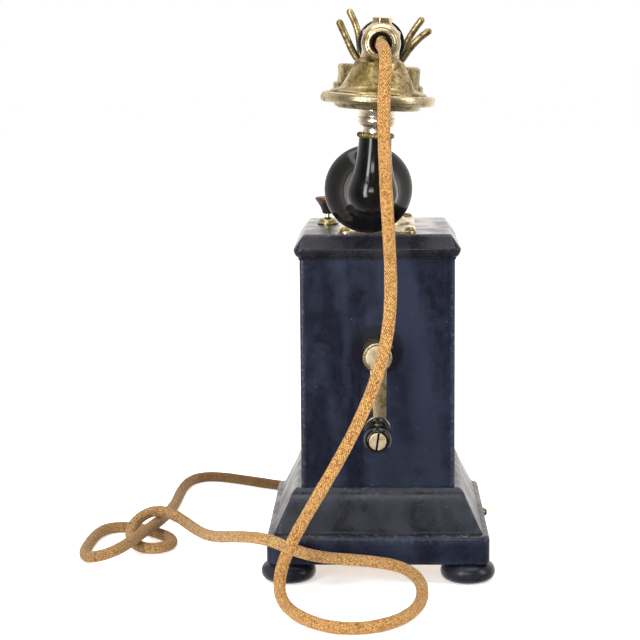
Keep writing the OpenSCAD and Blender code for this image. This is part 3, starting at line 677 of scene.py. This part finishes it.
cord_line, cord_mm = even(spline(ROUTE, 60), 1.0)
CORD_LENGTH = cord_mm * MM
CORD_SIDES = 28
lumps = [dice.uniform(0, 2 * pi) for _ in range(4)]
radii = [
    CORD_D / 2 - 0.12 + 0.05 * sin(s / 9 + lumps[0]) + 0.04 * sin(s / 4.1 + lumps[1])
    + 0.03 * sin(s / 2.3 + lumps[2])
    for s in range(len(cord_line))
]
verts, faces = swept([tuple(p) for p in cord_line], radii, CORD_SIDES, round_ends=False)
uv = []
for i in range(len(cord_line) - 1):
    low = i / (len(cord_line) - 1) * CORD_LENGTH
    high = (i + 1) / (len(cord_line) - 1) * CORD_LENGTH
    for k in range(CORD_SIDES):
        a, b = k / CORD_SIDES, (k + 1) / CORD_SIDES
        uv.append([(a, low), (b, low), (b, high), (a, high)])
uv.append([(0.5, 0)] * CORD_SIDES)
uv.append([(0.5, CORD_LENGTH)] * CORD_SIDES)
cord = build(
    "cotton_cord", verts, faces, None, cotton_braid("cotton_braid"), "cotton_cord",
    ("cord_hanging", "cord_floor"),
    uv=uv,
)
rest_at = cord.data.attributes.new("rest_at", "FLOAT_VECTOR", "POINT")
rest_at.data.foreach_set("vector", [c * MM for v in verts for c in v])
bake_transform(cord)


# ---- Finishes ----

BUTTON_SEAM_Z = 222.6   # the push knob is black below it and brown above
lid_paint = lacquer("lid_lacquer", (0.004, 0.004, 0.007), (0.014, 0.015, 0.020), 0.2)
nickel = aged_metal("aged_nickel", (0.58, 0.49, 0.32), (0.17, 0.12, 0.048), 0.5)
tarnished = aged_metal("tarnished_nickel", (0.46, 0.36, 0.175), (0.13, 0.088, 0.028), 0.75, 0.32)
silvered = aged_metal("bright_nickel", (0.78, 0.71, 0.58), (0.33, 0.25, 0.13), 0.35, 0.22)
brass = aged_metal("aged_brass", (0.62, 0.44, 0.17), (0.24, 0.15, 0.05), 0.45, 0.3)
bronze = aged_metal("dark_bronze", (0.30, 0.20, 0.07), (0.06, 0.04, 0.015), 0.7, 0.3, 2.0)
gilt = aged_metal("golden_nickel", (0.38, 0.31, 0.16), (0.14, 0.095, 0.035), 0.5, 0.25)
frosted = aged_metal("frosted_nickel", (0.50, 0.41, 0.28), (0.26, 0.19, 0.11), 0.45, 0.35, 2.0, 0.5)
steel = aged_metal("screw_steel", (0.72, 0.71, 0.68), (0.33, 0.30, 0.25), 0.2, 0.25, 1.6)
black = hard_rubber("hard_rubber")
matt_black = hard_rubber("matt_rubber", gloss=0.7)
browned = aged_metal("browned_nickel", (0.60, 0.46, 0.27), (0.20, 0.125, 0.05), 0.5, 0.25)
wood = bare_wood("bare_wood")
copper = wound_wire("wound_copper", (0.34, 0.15, 0.07), (0.12, 0.05, 0.02))
paper = wound_wire("waxed_cotton_winding", (0.3, 0.2, 0.1), (0.12, 0.07, 0.03))
magnet_red = lacquer("magnet_lacquer", (0.12, 0.015, 0.012), (0.2, 0.04, 0.03), 0.4)
can_grey = lacquer("capacitor_can", (0.16, 0.15, 0.12), (0.25, 0.23, 0.19), 0.45)

for paint, names in (
    (wood, ("bottom_board", "generator_shelf", "terminal_block")),
    (brass, ("generator_frame", "drive_gear", "gongs", "switch_springs", "carbon_capsule")),
    (steel, ("crank_shaft", "armature_shaft", "pinion", "plunger", "clapper", "ringer_frame")),
    (magnet_red, ("horseshoe_magnets",)),
    (copper, ("armature", "ringer_coils")),
    (paper, ("induction_coil",)),
    (can_grey, ("capacitor",)),
):
    for name in names:
        nodes[name].data.materials.clear()
        nodes[name].data.materials.append(paint)


def size_of(node):
    """A node's box in millimetres: low corner, high corner."""
    low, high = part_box(node)
    return low / MM, high / MM


# ---- Case ----

low, high = size_of("plinth")
hw, hd, z0, z1 = high.x, high.y, low.z, high.z
rail = 12
seam_paint = lacquer("plinth_lacquer", seam=z1 * MM)
framed("plinth_frame", edged([
    (0, z0, 0.3, 1.6), (0, z1, 0.45, 2.6), (rail, z1, 0, 0.3), (rail, z0, 0, 0.3),
], hw, hd, 5.0, closed=True), "case", seam_paint, "case_paint", ("plinth",), True, 0.15)

low, high = size_of("base_moulding")
mz0, mz1 = low.z, high.z
DRAWN_RISE = 26.25   # height that the profile below was drawn at
rise = (mz1 - mz0) / DRAWN_RISE
box_lo, box_hi = size_of("near_panel")
bw, bd = box_hi.x, -box_lo.y
mould_paint = lacquer(
    "mould_lacquer", (0.005, 0.006, 0.010), (0.017, 0.019, 0.027), 0.24, seam=z1 * MM, dusty=1.0,
)
framed("base_mould", edged([
    (4, mz0, 0.6, 0.3), (4.1, mz0 + 1.2, 0, 0.3), (5.2, mz0 + 2.6, 0, 0.8), (8.6, mz0 + 9.4 * rise, 0, 1.5),
    (11.7, mz0 + 15.7 * rise, 0, 1.5), (13.7, mz0 + 20 * rise, 0.2, 2.4), (15, mz0 + 23.6 * rise, 0.5, 1.6),
    (17.5, mz1, 1, 0.8), (hw - bw + 8, mz1, 0, 0.3), (hw - bw + 8, mz0, 0, 0.3),
], hw, hd, 8.0, closed=True), "case", mould_paint, "case_paint", ("base_moulding",), True, 0.55)

low, high = size_of("near_panel")
bz0, bz1 = low.z, high.z
low, high = size_of("crank_shaft")
crank_z = (low.z + high.z) / 2
BUSH_BORE, COLUMN_BORE, BUTTON_BORE = 6.05, 6.85, 1.7   # radii
shell = framed("case_box", edged([
    (0, bz0, 0.3, 0.2), (0, bz1, 0.2, 0.2), (8, bz1, 0, 0.2), (8, bz0, 0, 0.2),
], bw, bd, 1.8, closed=True), "case", lacquer("box_lacquer", halo=(0, crank_z * MM)), "case_paint", (
    "near_panel", "far_panel", "left_panel", "right_panel",
), True, 0.9)
carve(shell, drill(BUSH_BORE, 40, 70, facing(0, crank_z)))

low, high = size_of("lid")
lw, ld, lz0, lz1 = high.x, high.y, low.z, high.z
lid = framed("lid_board", edged([
    (3.0, lz0, 0, 0.2), (2.6, lz0 + 1.4, 0.1, 0.4), (1.3, lz0 + 2.3, 0, 0.4), (0.5, lz0 + 3.7, 0, 0.5),
    (0, lz0 + 5.2, 0.2, 0.6), (0, lz0 + 6.6, 0.3, 0.6), (0.8, lz0 + 7.5, 0.1, 0.4),
    (6.1, lz1, 1, 1.0), (20, lz1, 0, 0.1),
], lw, ld, 5.0), "case", lid_paint, "lid_paint", ("lid",), corner_wear=0.3)
stem_lo, stem_hi = size_of("button_stem")
bx, by = (stem_lo.x + stem_hi.x) / 2, (stem_lo.y + stem_hi.y) / 2
carve(
    lid,
    drill(COLUMN_BORE, lz0 - 2, lz1 + 2),
    drill(BUTTON_BORE, lz0 - 2, lz1 + 2, moved(bx, by, 0), sides=32),
)

for sx, side in ((-1, "left"), (1, "right")):
    for sy, depth in ((-1, "near"), (1, "far")):
        node = f"foot_{depth}_{side}"
        low, high = size_of(node)
        centre = (low + high) / 2
        r, h = (high.x - low.x) / 2, high.z
        outline = smooth_curve([
            (r - 7.2, 0), (r - 4.6, 0.25), (r - 2.1, 1.5), (r - 0.5, 3.5), (r, 5.9), (r - 0.4, 8.0),
            (r - 1.8, 10.1), (r - 4.4, 11.7), (r - 7, h),
        ], 4)
        build(
            f"bun_foot_{depth}_{side}", *turned([(0, 0)] + outline + [(0, h)], moved(centre.x, centre.y, 0)),
            "case", mould_paint, "case_paint", (node,)
        )


# ---- Fittings on the lid ----

def slotted_head(name, r, h, place, slot, turn_by, stands_for=()):
    """Round bronze screw head on the case, with its slot cut in."""
    outline = rounded([(0, -0.4), (r, -0.4), (r, h * 0.25), (r * 0.55, h * 0.93), (0, h)], 0.35 * h, 5)
    piece = build(name, *turned(outline, place, sides=64), "case", bronze, slot, stands_for)
    slot_at = place @ moved(0, 0, 1.55 * h) @ Matrix.Rotation(turn_by, 4, "Z")
    carve(piece, brick(2 * r + 2, 0.26 * r, 2 * h, slot_at))


low, high = size_of("cradle_plate")
plate = framed("cradle_base_plate", edged([
    (0, low.z, 0, 0.1), (0, high.z, 0, 0.5), (10, high.z, 0, 0.1),
], high.x, high.y, 5.5), "case", nickel, "nickel", ("cradle_plate",))
carve(plate, drill(COLUMN_BORE, low.z - 2, high.z + 2))
plate_top = high.z
low, high = size_of("plate_screws")
screw_x, screw_y, screw_r = high.x - 3.1, high.y - 3.1, 3.1
for i, (sx, sy) in enumerate(((-1, -1), (1, -1), (-1, 1), (1, 1))):
    slotted_head(
        f"plate_screw_{i + 1}", screw_r, 2.0, moved(sx * screw_x, sy * screw_y, plate_top),
        "brass", (0.4, 1.2, 2.1, 0.9)[i], ("plate_screws",) if i == 0 else (),
    )

low, high = size_of("column_flange")
r, top = high.x, high.z
base = low.z
build("column_foot", *turned(rounded([
    (COLUMN_BORE, base), (r, base, 0.3), (r, base + 1.4, 0.5), (r - 1.6, base + 2.0, 0.6),
    (16.2, base + 4.1, 2),
    (12.4, base + 5.9, 1.5), (10.4, base + 6.9, 1), (9.5, base + 8.2, 0.8), (9.5, top, 0.6),
    (COLUMN_BORE, top),
], closed=True), closed=True), "case", nickel, "nickel", ("column_flange",))

low, high = size_of("column_tube")
base, top = low.z, high.z
build("column", *turned(rounded([
    (4.1, base), (6.8, base), (6.8, top - 8.2, 0.5), (7.7, top - 7.4, 0.5), (7.7, top - 6.6, 0.3),
    (9.3, top - 5.8, 0.8), (9.3, top - 1, 0.8), (8.4, top, 0.4), (4.1, top),
], closed=True), closed=True), "case", nickel, "nickel", ("column_tube",))

low, high = size_of("button_rosette")
base, r = low.z, (high.x - low.x) / 2
at = moved(bx, by, base)
build("button_collar", *turned(rounded([
    (BUTTON_BORE, 0), (r, 0, 0.2), (r, 0.9, 0.4), (r - 0.7, 1.4, 0.3), (r - 0.8, 1.9, 0.3),
    (r - 1.4, 2.9, 0.8), (4.4, 3.6, 0.6),
    (3.0, 4.0, 0.3), (2.3, high.z - base, 0.2), (BUTTON_BORE, high.z - base),
], closed=True), at, closed=True, sides=64), "case", gilt, "nickel", ("button_rosette",))
build("button_rod", *turned(rounded([
    (0, stem_lo.z), (3.2, stem_lo.z), (3.2, stem_lo.z + 1.6), (1.6, stem_lo.z + 1.6, 0), (1.6, stem_hi.z),
    (0, stem_hi.z),
], 0.2), moved(bx, by, 0), sides=48), "button", silvered, "nickel", ("button_stem",))
low, high = size_of("button_knob")
base, h = low.z, high.z - low.z
outline = smooth_curve([
    (3.3, 0.35), (3.6, 1.4), (4.1, 3), (5.2, 5.3), (6.8, 7.6), (7.7, 9.0), (7.9, 9.7), (7.6, 10.4),
    (6.7, h - 0.1),
], 4)
build("push_knob", *turned(
    [(0, 0), (2.8, 0)] + outline + [(5.2, h), (2.5, h - 0.5), (0, h - 0.65)],
    moved(bx, by, base), sides=72,
), "button", brown_topped("push_knob_finish"), "ebonite", ("button_knob",))

low, high = size_of("side_screw")
slotted_head(
    "plinth_screw", 3.0, 3.0,
    moved(low.x, (low.y + high.y) / 2, (low.z + high.z) / 2) @ spun(90, "Y"),
    "steel", 0.7, ("side_screw",),
)

low, high = size_of("cord_gland")
gx, gz = (low.x + high.x) / 2, (low.z + high.z) / 2
build("cord_bushing", *turned(rounded([
    (3.9, 14), (6.5, 14), (6.5, 0.1, 0), (9, 0.1, 0), (9, -2, 0.5), (7.3, -2.2, 0.2), (7, -3, 0.4),
    (5.7, -5, 0.6), (3.9, -5),
], 0.2, closed=True), facing(gx, gz, hd), closed=True, sides=64), "case", brass, "brass", ("cord_gland",))


# ---- Crank ----

low, high = size_of("crank_bushing")
face = low.y
# The bushing is black to match the dark ring round the hub: painted shade in the gap there.
build("crank_bush", *turned(rounded([
    (4.07, face - high.y), (6, face - high.y), (6, -1.5, 0), (9.6, -1.5, 0), (9.6, -0.5, 0.4), (8.8, 0, 0.4),
    (4.07, 0),
], 0.3, closed=True), facing(0, crank_z, face), closed=True, sides=72), "case", black, "ebonite",
    ("crank_bushing",))

low, high = size_of("crank_arm")
hub_y, hub_back, hub_r = low.y, high.y, high.x
EYE_R = 8
knob_z = low.z + EYE_R
arm_t = 3.6
depth = hub_y - hub_back
build("crank_hub", *turned(rounded([
    (4.05, depth), (hub_r - 1.0, depth, 0.5), (hub_r - 0.6, depth + 1, 0.6), (hub_r - 0.6, -5.2, 0.2),
    (hub_r, -4.8, 0.5),
    (hub_r, -0.5, 0.5), (hub_r - 0.8, 0, 0.4), (7.45, -0.05, 0.2), (7.3, -0.7, 0.1), (4.05, -0.7, 0.1),
], 0.4, closed=True), facing(0, crank_z, hub_y), closed=True), "crank", nickel, "nickel", ("crank_arm",))
cap = build(
    "hub_end",
    *turned(rounded([(0, -2.6), (7.0, -2.6), (7.0, -0.15, 0.3), (5, 0.1, 2), (0, 0.15)]), facing(0, crank_z,
    hub_y)), "crank", frosted, "nickel"
)
NOTCH = radians(222)
carve(cap, brick(1.6, 1.6, 1.6, facing(6.9 * cos(NOTCH), crank_z + 6.9 * sin(NOTCH), hub_y)))
drop = knob_z - crank_z
outline = [(-2.6, drop + 8.6), (-4.5, -6), (5.3, -6), (5.0, drop + 7.3)]
for k in range(33):
    a = radians(52 - 304 * k / 32)
    outline.append(((EYE_R - 0.4) * cos(a), drop + (EYE_R - 0.4) * sin(a)))
bar = build("crank_bar", *prism(outline, -arm_t, -0.35, facing(0, crank_z, hub_y)), "crank", nickel, "nickel")
bevelled(bar, 0.45, 3)

low, high = size_of("crank_knob")
knob_back = high.y
build("crank_handle", *turned(
    [(2.56, 0.2), (6.6, 0)] + smooth_curve([
        (7.2, 0.2), (7.5, 1), (7.2, 2.5), (6, 4.2), (5.3, 6.5), (5.2, 9), (5.7, 13), (6.6, 17.5), (7.6, 22.5),
        (8.2, 27),
        (8.3, 30), (7.9, 32.6), (7.1, 34.3), (6.3, 35.15),
    ], 5) + [(5.6, 35.3), (5.32, 35.1), (5.3, 34.2), (2.56, 34.2)],
    facing(0, knob_z, knob_back), closed=True,
), "crank_knob_body", black, "ebonite", ("crank_knob",))
low, high = size_of("knob_pin")
tip = low.y
place = facing(0, knob_z, tip)
pin = build("knob_screw", *turned(rounded([
    (0, tip - high.y), (2.5, tip - high.y), (2.5, -2.2, 0), (5, -2.2, 0.1), (5, -0.35, 0.3),
    (4.4, -0.05, 0.3), (0, 0),
], 0.2), place, sides=72), "crank", frosted, "steel", ("knob_pin",))
slot_at = place @ spun(-8, "Z")
carve(pin, brick(1.25, 12, 2.8, slot_at))
# A dark strip at the slot's floor: grime, and painted shade in the slot.
build("knob_screw_slot_grime_and_shade", *brick(1.3, 9.8, 0.4, slot_at @ moved(0, 0, -1.2)), "crank", black, "ebonite")


# ---- Cradle ----

low, high = size_of("cradle_beam")
beam_z = low.z
forks_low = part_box("near_fork")[0].z / MM
arm_h = 9
framed("cradle_yoke", edged([
    (0, beam_z, 0, 0.8), (0, beam_z + arm_h, 0, 1.2), (1.8, beam_z + arm_h + 0.01, 0, 0.1),
], 4, high.y, 2.6), "cradle", nickel, "nickel", ("cradle_beam",))
build("yoke_boss", *turned(rounded([
    (0, beam_z), (8.2, beam_z), (9, beam_z + 1.2, 0.8), (9, beam_z + 7.6, 0.8),
    (7.4, beam_z + arm_h + 0.4, 0.8),
    (0, beam_z + arm_h + 1.2),
], 0.5)), "cradle", nickel, "nickel")
fork_y = high.y - 4
for sy, side in ((-1, "near"), (1, "far")):
    build(f"{side}_post", *turned(rounded([
        (0, beam_z + 4), (3.9, beam_z + 4), (3.9, beam_z + arm_h + 0.6, 0.4),
        (3.2, beam_z + arm_h + 1.6, 0.6),
        (3.0, forks_low - 2.2, 0.8), (3.7, forks_low - 1, 0.5), (3.6, forks_low + 0.4, 0.6),
        (2.4, forks_low + 0.9, 0.4), (0, forks_low + 0.9),
    ], 0.4), moved(0.6, sy * fork_y, 0), sides=64), "cradle", nickel, "nickel")

SADDLE_Z = 309.2   # height of the lowest point in both outlines
WIRES = {
    "near": (-fork_y, [
        (-22.3, 335), (-19.4, 328.5), (-15.9, 320.6), (-12.3, 313.1), (-7.8, 309.7), (0.8, SADDLE_Z),
        (9.5, 309.4), (14.9, 311), (18.8, 317.7), (24.5, 324.2), (31.6, 329.2),
    ]),
    "far": (fork_y, [
        (-17.3, 342.4), (-13.9, 335.7), (-11.3, 328.1), (-10.6, 318.5), (-9.7, 311.5), (-4.9, 309.6),
        (0.9, SADDLE_Z), (7.6, 309.4), (13.2, 311.2), (17.4, 318.6), (21.7, 327.8), (28.7, 336.7),
    ]),
}
PRONG_R = 2.18
for side, (y, wire) in WIRES.items():
    line, _ = even(spline([(x, y, z) for x, z in wire], 12), 0.8)
    centres = [tuple(p) for p in line[1:-1]]
    build(
        f"{side}_prongs",
        *swept(centres, [PRONG_R + 0.03 * sin(i / 3.1) for i in range(len(centres))], 28), "cradle",
        tarnished, "nickel", (f"{side}_fork",), angle=50
    )


# ---- Handset ----

grip_lo, grip_hi = size_of("grip_tube")
ROLL = radians(3.6)
HELD = moved((grip_lo.x + grip_hi.x) / 2, 0, (grip_lo.z + grip_hi.z) / 2) @ Matrix.Rotation(ROLL, 4, "Y")
MOUTH_Y, EAR_Y, HEAD_Y0, HEAD_Y1 = -88.0, 95.0, -105.0, -76.0
BOSS_Z, CONE_Z, CONE_H, NECK_H, STEM_H, ELBOW_R = 7.4, -8.3, 20.9, 22.0, 31.5, 14.6
AT_MOUTH = HELD @ moved(0, MOUTH_Y, 0)
AT_EAR = HELD @ moved(0, EAR_Y, 0)


def barrel(y, forward=True):
    """Place on the grip's axis with +Z toward the transmitter's end, or toward the receiver's."""
    return HELD @ moved(0, y, 0) @ spun(90 if forward else -90, "X")


def piece_of_handset(name, profile, place, paint, slot, stands_for=(), angle=35, **how):
    """A turned piece of the handset. how is what turned() takes besides."""
    build(name, *turned(profile, place, **how), "handset", paint, slot, stands_for, angle=angle)


grip_r = (grip_hi.x - grip_lo.x) / 2
piece_of_handset("handle_tube", rounded([
    (grip_r - 2, -72), (grip_r - 0.1, -72), (grip_r, -60, 6), (grip_r, 0, 6), (grip_r, 60, 6),
    (grip_r - 0.1, 70),
    (grip_r - 2, 70),
], 0.3, closed=True), barrel(0, False), black, "ebonite", ("grip_tube",), closed=True)
for i, (forward, y) in enumerate(((True, HEAD_Y1), (False, -HEAD_Y1))):
    piece_of_handset(f"handle_collar_{i + 1}", rounded([
        (8, -0.8), (12.6, -0.8, 0.1), (12.6, -1.0, 0.1), (13.6, -1.0, 0.5), (13.6, -2.6, 0.4),
        (13.0, -2.9, 0.2),
        (13.0, -3.3, 0.2), (13.4, -3.6, 0.4), (13.2, -5, 0.7), (grip_r + 0.05, -5.3), (grip_r + 0.05, -4.2),
        (8, -4.2),
    ], 0.2, closed=True), barrel(y, forward), black, "ebonite", ("grip_collars",) if i == 0 else (),
        closed=True)

reach = HEAD_Y1 - HEAD_Y0
piece_of_handset("mouth_barrel", rounded([
    (7.5, 0), (11.3, 0, 0.3), (11.3, reach - 7.0, 2.5), (10.9, reach - 3.4, 2.2), (9.3, reach - 1.1, 1.5),
    (8.2, reach - 0.7, 0.6),
    (7.6, reach - 0.3, 0.8), (6.7, reach, 1.0), (5.5, reach - 1.2, 1.0), (5.3, reach - 3.4, 0.8),
    (5.3, 9, 0.5), (7.5, 9, 0.5),
], 0.3, 6, closed=True), barrel(HEAD_Y1, True), nickel, "nickel", ("transmitter_head",), closed=True)
piece_of_handset("cord_bush", rounded([
    (4.3, 10), (5.28, 10), (5.28, reach - 3.4), (5.45, reach - 1.2), (6.1, reach - 0.6), (5.95, reach - 0.35),
    (5.2, reach - 1.1), (4.9, reach - 3.4), (4.3, reach - 5),
], 0.15, closed=True), barrel(HEAD_Y1, True), matt_black, "ebonite", closed=True)


def boss_and_nut(prefix, place, floor_z, body_paint, nut_turn):
    """The upright casting on a barrel: a drum, a tapered shoulder and a chamfered hexagon nut on top."""
    piece_of_handset(f"{prefix}_casting", rounded([
        (0, floor_z), (10.8, floor_z, 0.2), (10.8, BOSS_Z - 0.9, 0.3), (10.4, BOSS_Z - 0.4, 0.3),
        (9.5, BOSS_Z, 0.5),
        (8.2, BOSS_Z + 1.5, 1.0), (6.1, BOSS_Z + 3.3, 1.0), (5.2, BOSS_Z + 4.1, 0.3), (0, BOSS_Z + 4.1),
    ], 0.3), place, body_paint, "nickel")
    angles = [radians(60 * k + nut_turn) for k in range(6)]
    outline = [(5.9 * cos(a), 5.9 * sin(a)) for a in angles]
    nut = build(
        f"{prefix}_nut", *prism(outline, BOSS_Z + 3.4, BOSS_Z + 7.0, place), "handset", browned, "nickel"
    )
    bevelled(nut, 0.45, 2)
    return nut


head_nut = boss_and_nut("mouth", AT_MOUTH, -11.1, browned, 15)
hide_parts("head_nut")
cone = [
    (8.7, 0), (11, 0, 0.3), (11.3, -0.7, 0.3), (12.7, -1.7, 0.5), (13.9, -2.2, 0.5), (14.4, -2.8, 0.5),
    (14.7, -3.9, 0.5),
    (17, -8.7, 3), (19.4, -13.5, 3), (21.1, -16.6, 1.5), (22.0, -17.6, 0.8), (23.8, -18.4, 0.6),
    (26.9, -19.2, 0.6),
    (27.9, -19.8, 0.4), (27.9, -CONE_H, 0.2), (26, -CONE_H, 0.2), (24.1, -20.3, 1), (18.8, -16.4, 1),
    (15.4, -9.6, 1),
    (12.9, -4.8, 1), (8.7, -3.5, 0.3),
]
piece_of_handset(
    "mouth_cone", rounded(cone, 0.3, closed=True), AT_MOUTH @ moved(0, 0, CONE_Z), tarnished, "nickel",
    ("transmitter_cone",), closed=True, sides=128,
)
RIM_Z = CONE_Z - CONE_H
rim = [
    (7.9, -0.1), (29, -0.1, 0.2), (29.4, 0.1, 0.3), (31.2, 0.35, 0.8), (32.4, -0.1, 0.8), (33, -1.6, 1.2),
    (33, -3.8, 1.2),
    (32.2, -5.2, 0.8), (30.8, -5.7, 0.6), (25.8, -6.0, 0.5), (25.0, -6.5, 0.4), (24.6, -7.7, 0.5),
    (23.4, -8.5, 0.4),
    (21.5, -8.4, 0.4), (20.6, -7.8, 0.4), (12.5, -7.9, 0.4), (11.6, -8.5, 0.3), (7.9, -8.5),
]
piece_of_handset(
    "mouth_rim", rounded(rim, 0.3, closed=True), AT_MOUTH @ moved(0, 0, RIM_Z), nickel, "nickel",
    ("transmitter_rim",), closed=True, sides=144,
)
neck = [
    (5, 0), (7.8, 0), (7.8, -8.6, 0), (12.1, -8.6, 0.2), (12.1, -9.1, 0.2), (11.2, -9.9, 0.4),
    (10.7, -10.8, 0.5), (10.4, -12.2, 0.3),
    (10.0, -12.5, 0.15), (10.1, -12.95, 0.2), (10.9, -13.5, 0.5), (11.4, -15.4, 1.5), (10.9, -17.2, 0.6),
    (9.9, -17.9, 0.3),
    (9.2, -18.0, 0.2), (8.3, -18.6, 0.5), (7.9, -19.8, 0.6), (8.0, -21.0, 0.4), (8.3, -NECK_H, 0),
    (5, -NECK_H),
]
piece_of_handset(
    "horn_neck", rounded(neck, 0.3, 5, closed=True), AT_MOUTH @ moved(0, 0, RIM_Z), silvered, "nickel",
    ("mouthpiece_neck",), closed=True,
)
COLLAR_Z = RIM_Z - NECK_H


def knurl(a, r):
    """34 ridges on the ring's widest part."""
    return 0.28 * cos(34 * a) if r > 10.3 else 0.0


piece_of_handset(
    "knurled_ring", rounded([
        (5, -3.1), (9.9, -3.1, 0.1), (10.0, -2.9, 0.1), (10.35, -2.5, 0.2), (10.6, -2.2, 0.2),
        (10.6, -0.9, 0.2), (10.35, -0.5, 0.2),
        (9.8, 0, 0.2), (5, 0),
    ], 0.15, closed=True), AT_MOUTH @ moved(0, 0, COLLAR_Z), tarnished, "nickel", ("knurled_collar",),
    closed=True, sides=204, wobble=knurl, angle=60,
)

HORN = AT_MOUTH @ moved(0, 0, COLLAR_Z - 3 - STEM_H) @ spun(5, "Z")
stem = smooth_curve([
    (9.55, 31.4), (9.7, 26.7), (10.0, 21.8), (10.6, 17), (11.6, 12.2), (13.0, 7.8), (14.3, 3.9),
    (ELBOW_R + 0.5, 0),
    (14.7, -3.6), (13.3, -6.9), (10.8, -10.1), (7.4, -12.6), (3.6, -14.2), (0.4, -ELBOW_R),
], 6)
piece_of_handset(
    "horn_stem", [(4.6, 12), (4.6, STEM_H), (9.2, STEM_H)] + stem + [(0, -ELBOW_R), (0, 12)], HORN, black,
    "ebonite", ("horn",), sides=128, angle=60
)
bell = [(0, 1.5), (13.9, 1.5)] + smooth_curve([(14.1, 2.5), (14.7, 5.0), (15.4, 7.2), (15.95, 8.7)], 4) + [
    (15.9, 9.15), (15.65, 9.35), (15.7, 9.6)] + smooth_curve([
    (16.3, 9.9), (17.0, 11.2), (18.2, 13.1), (20.0, 15.4), (22.2, 18.0), (24.2, 20.6), (25.6, 23.2),
    (26.1, 24.9), (26.1, 25.7),
    (25.6, 26.15), (24.9, 25.7), (24.1, 24.0), (22.6, 21.6), (20.2, 18.8), (16.3, 15.4), (12.2, 12.6),
    (9.2, 9.2), (7.6, 5.5), (6.4, 4.0),
    (3, 3.4)], 5) + [(0, 3.2)]
piece_of_handset(
    "horn_bell", bell, HORN @ spun(-90, "X"), black, "ebonite", sides=144,
    angle=60,
)

ear_reach = EAR_Y + HEAD_Y1
piece_of_handset("ear_barrel", rounded([
    (7.5, 0), (11.3, 0, 0.3), (11.3, ear_reach + 6, 2.5), (10.6, ear_reach + 9.2, 2.2),
    (8.3, ear_reach + 11, 1.5),
    (0, ear_reach + 11.4),
    (0, 12), (7.5, 12),
], 0.3, 6), barrel(-HEAD_Y1, False), nickel, "nickel", ("receiver_head",))
CUP_Z = -14.9
boss_and_nut("ear", AT_EAR, CUP_Z, nickel, 40)
cup = [
    (6, 0), (25.4, 0, 0.8), (26.7, -0.5, 0.7), (27.4, -1.7, 0.7), (27.4, -11.6, 0.4), (28.1, -12.2, 0.4),
    (29.3, -12.5, 0.5),
    (30, -13.3, 0.6), (30, -18.2, 0.6), (29.6, -19, 0.3), (25.4, -19, 0.2), (25.4, -2.5, 0.3), (6, -2.5),
]
piece_of_handset(
    "ear_cup", rounded(cup, 0.3, closed=True), AT_EAR @ moved(0, 0, CUP_Z), tarnished, "nickel",
    ("receiver_cup",), closed=True, sides=128
)
cap = [
    (25.3, -15.5), (25.3, -19.0, 0), (28.9, -19.0, 0.3), (29.4, -19.8, 0.5), (29.3, -22.2, 1.5),
    (28.2, -24.6, 1.5), (25.8, -25.7, 1.5),
    (19.3, -26.0, 2), (13.5, -23.9, 2), (7.7, -20.8, 1.5), (5.3, -20.2, 0.4), (5.3, -17.7, 0.3),
    (19.3, -16.9, 1), (22, -15.5, 0.3),
]
piece_of_handset(
    "ear_cap", rounded(cap, 0.3, 5, closed=True), AT_EAR @ moved(0, 0, CUP_Z), black, "ebonite",
    ("receiver_cap",), closed=True, sides=128
)


# ---- Floor and light ----

floor_mesh = bpy.data.meshes.new("floor")
floor_mesh.from_pydata([(-6, -6, 0), (6, -6, 0), (6, 6, 0), (-6, 6, 0)], [], [(0, 1, 2, 3)])
floor = bpy.data.objects.new("floor", floor_mesh)
bpy.context.scene.collection.objects.link(floor)
floor.visible_glossy = False
ground = Paint("floor_paper", Specular_IOR_Level=0.1, Emission_Strength=0.5, Emission_Color=(1, 1, 1, 1))
ground_tone = ground.mix(ground.noise(5, 3), (0.91, 0.91, 0.91), (0.94, 0.94, 0.94))
floor_mesh.materials.append(ground.done(ground_tone, 0.8))


def softbox(name, place, target, w, h, power):
    data = bpy.data.lights.new(name, "AREA")
    data.shape, data.size, data.size_y, data.energy = "RECTANGLE", w, h, power
    box = bpy.data.objects.new(name, data)
    bpy.context.scene.collection.objects.link(box)
    box.location = place
    box.rotation_euler = (Vector(target) - Vector(place)).to_track_quat("-Z", "Y").to_euler()


softbox("softbox_left", (-0.68, -1.22, 0.45), (0, 0, 0.2), 0.3, 1.2, 18)
softbox("softbox_right", (1.6, -0.7, 0.8), (0, 0, 0.2), 0.7, 1.4, 14)
softbox("softbox_top", (0, -0.2, 2.2), (0, 0, 0), 2.4, 2.0, 44)
softbox("softbox_front", (-0.1, -1.5, 0.75), (0, 0, 0.25), 0.5, 0.25, 4)

# The camera sees a plain white world. All other rays see one that is brighter toward +Y.
world = bpy.data.worlds.new("studio")
bpy.context.scene.world = world
world.use_nodes = True
tree = world.node_tree
tree.nodes.clear()
out, seen, lighting, chooser, rays, direction, parts, shade = [
    tree.nodes.new("ShaderNode" + kind) for kind in (
        "OutputWorld", "Background", "Background", "MixShader", "LightPath", "TexCoord", "SeparateXYZ",
        "MapRange",
    )
]
for key, value in {"From Min": -0.3, "From Max": 1.0, "To Min": 0.24, "To Max": 1.6}.items():
    shade.inputs[key].default_value = value
seen.inputs["Strength"].default_value = 1.0
seen.inputs["Color"].default_value = (1, 1, 1, 1)
lighting.inputs["Color"].default_value = (1, 0.965, 0.93, 1)
for source, socket in (
    (direction.outputs["Generated"], parts.inputs[0]),
    (parts.outputs[1], shade.inputs["Value"]),
    (shade.outputs["Result"], lighting.inputs["Strength"]),
    (rays.outputs["Is Camera Ray"], chooser.inputs[0]),
    (lighting.outputs[0], chooser.inputs[1]),
    (seen.outputs[0], chooser.inputs[2]),
    (chooser.outputs[0], out.inputs[0]),
):
    tree.links.new(source, socket)
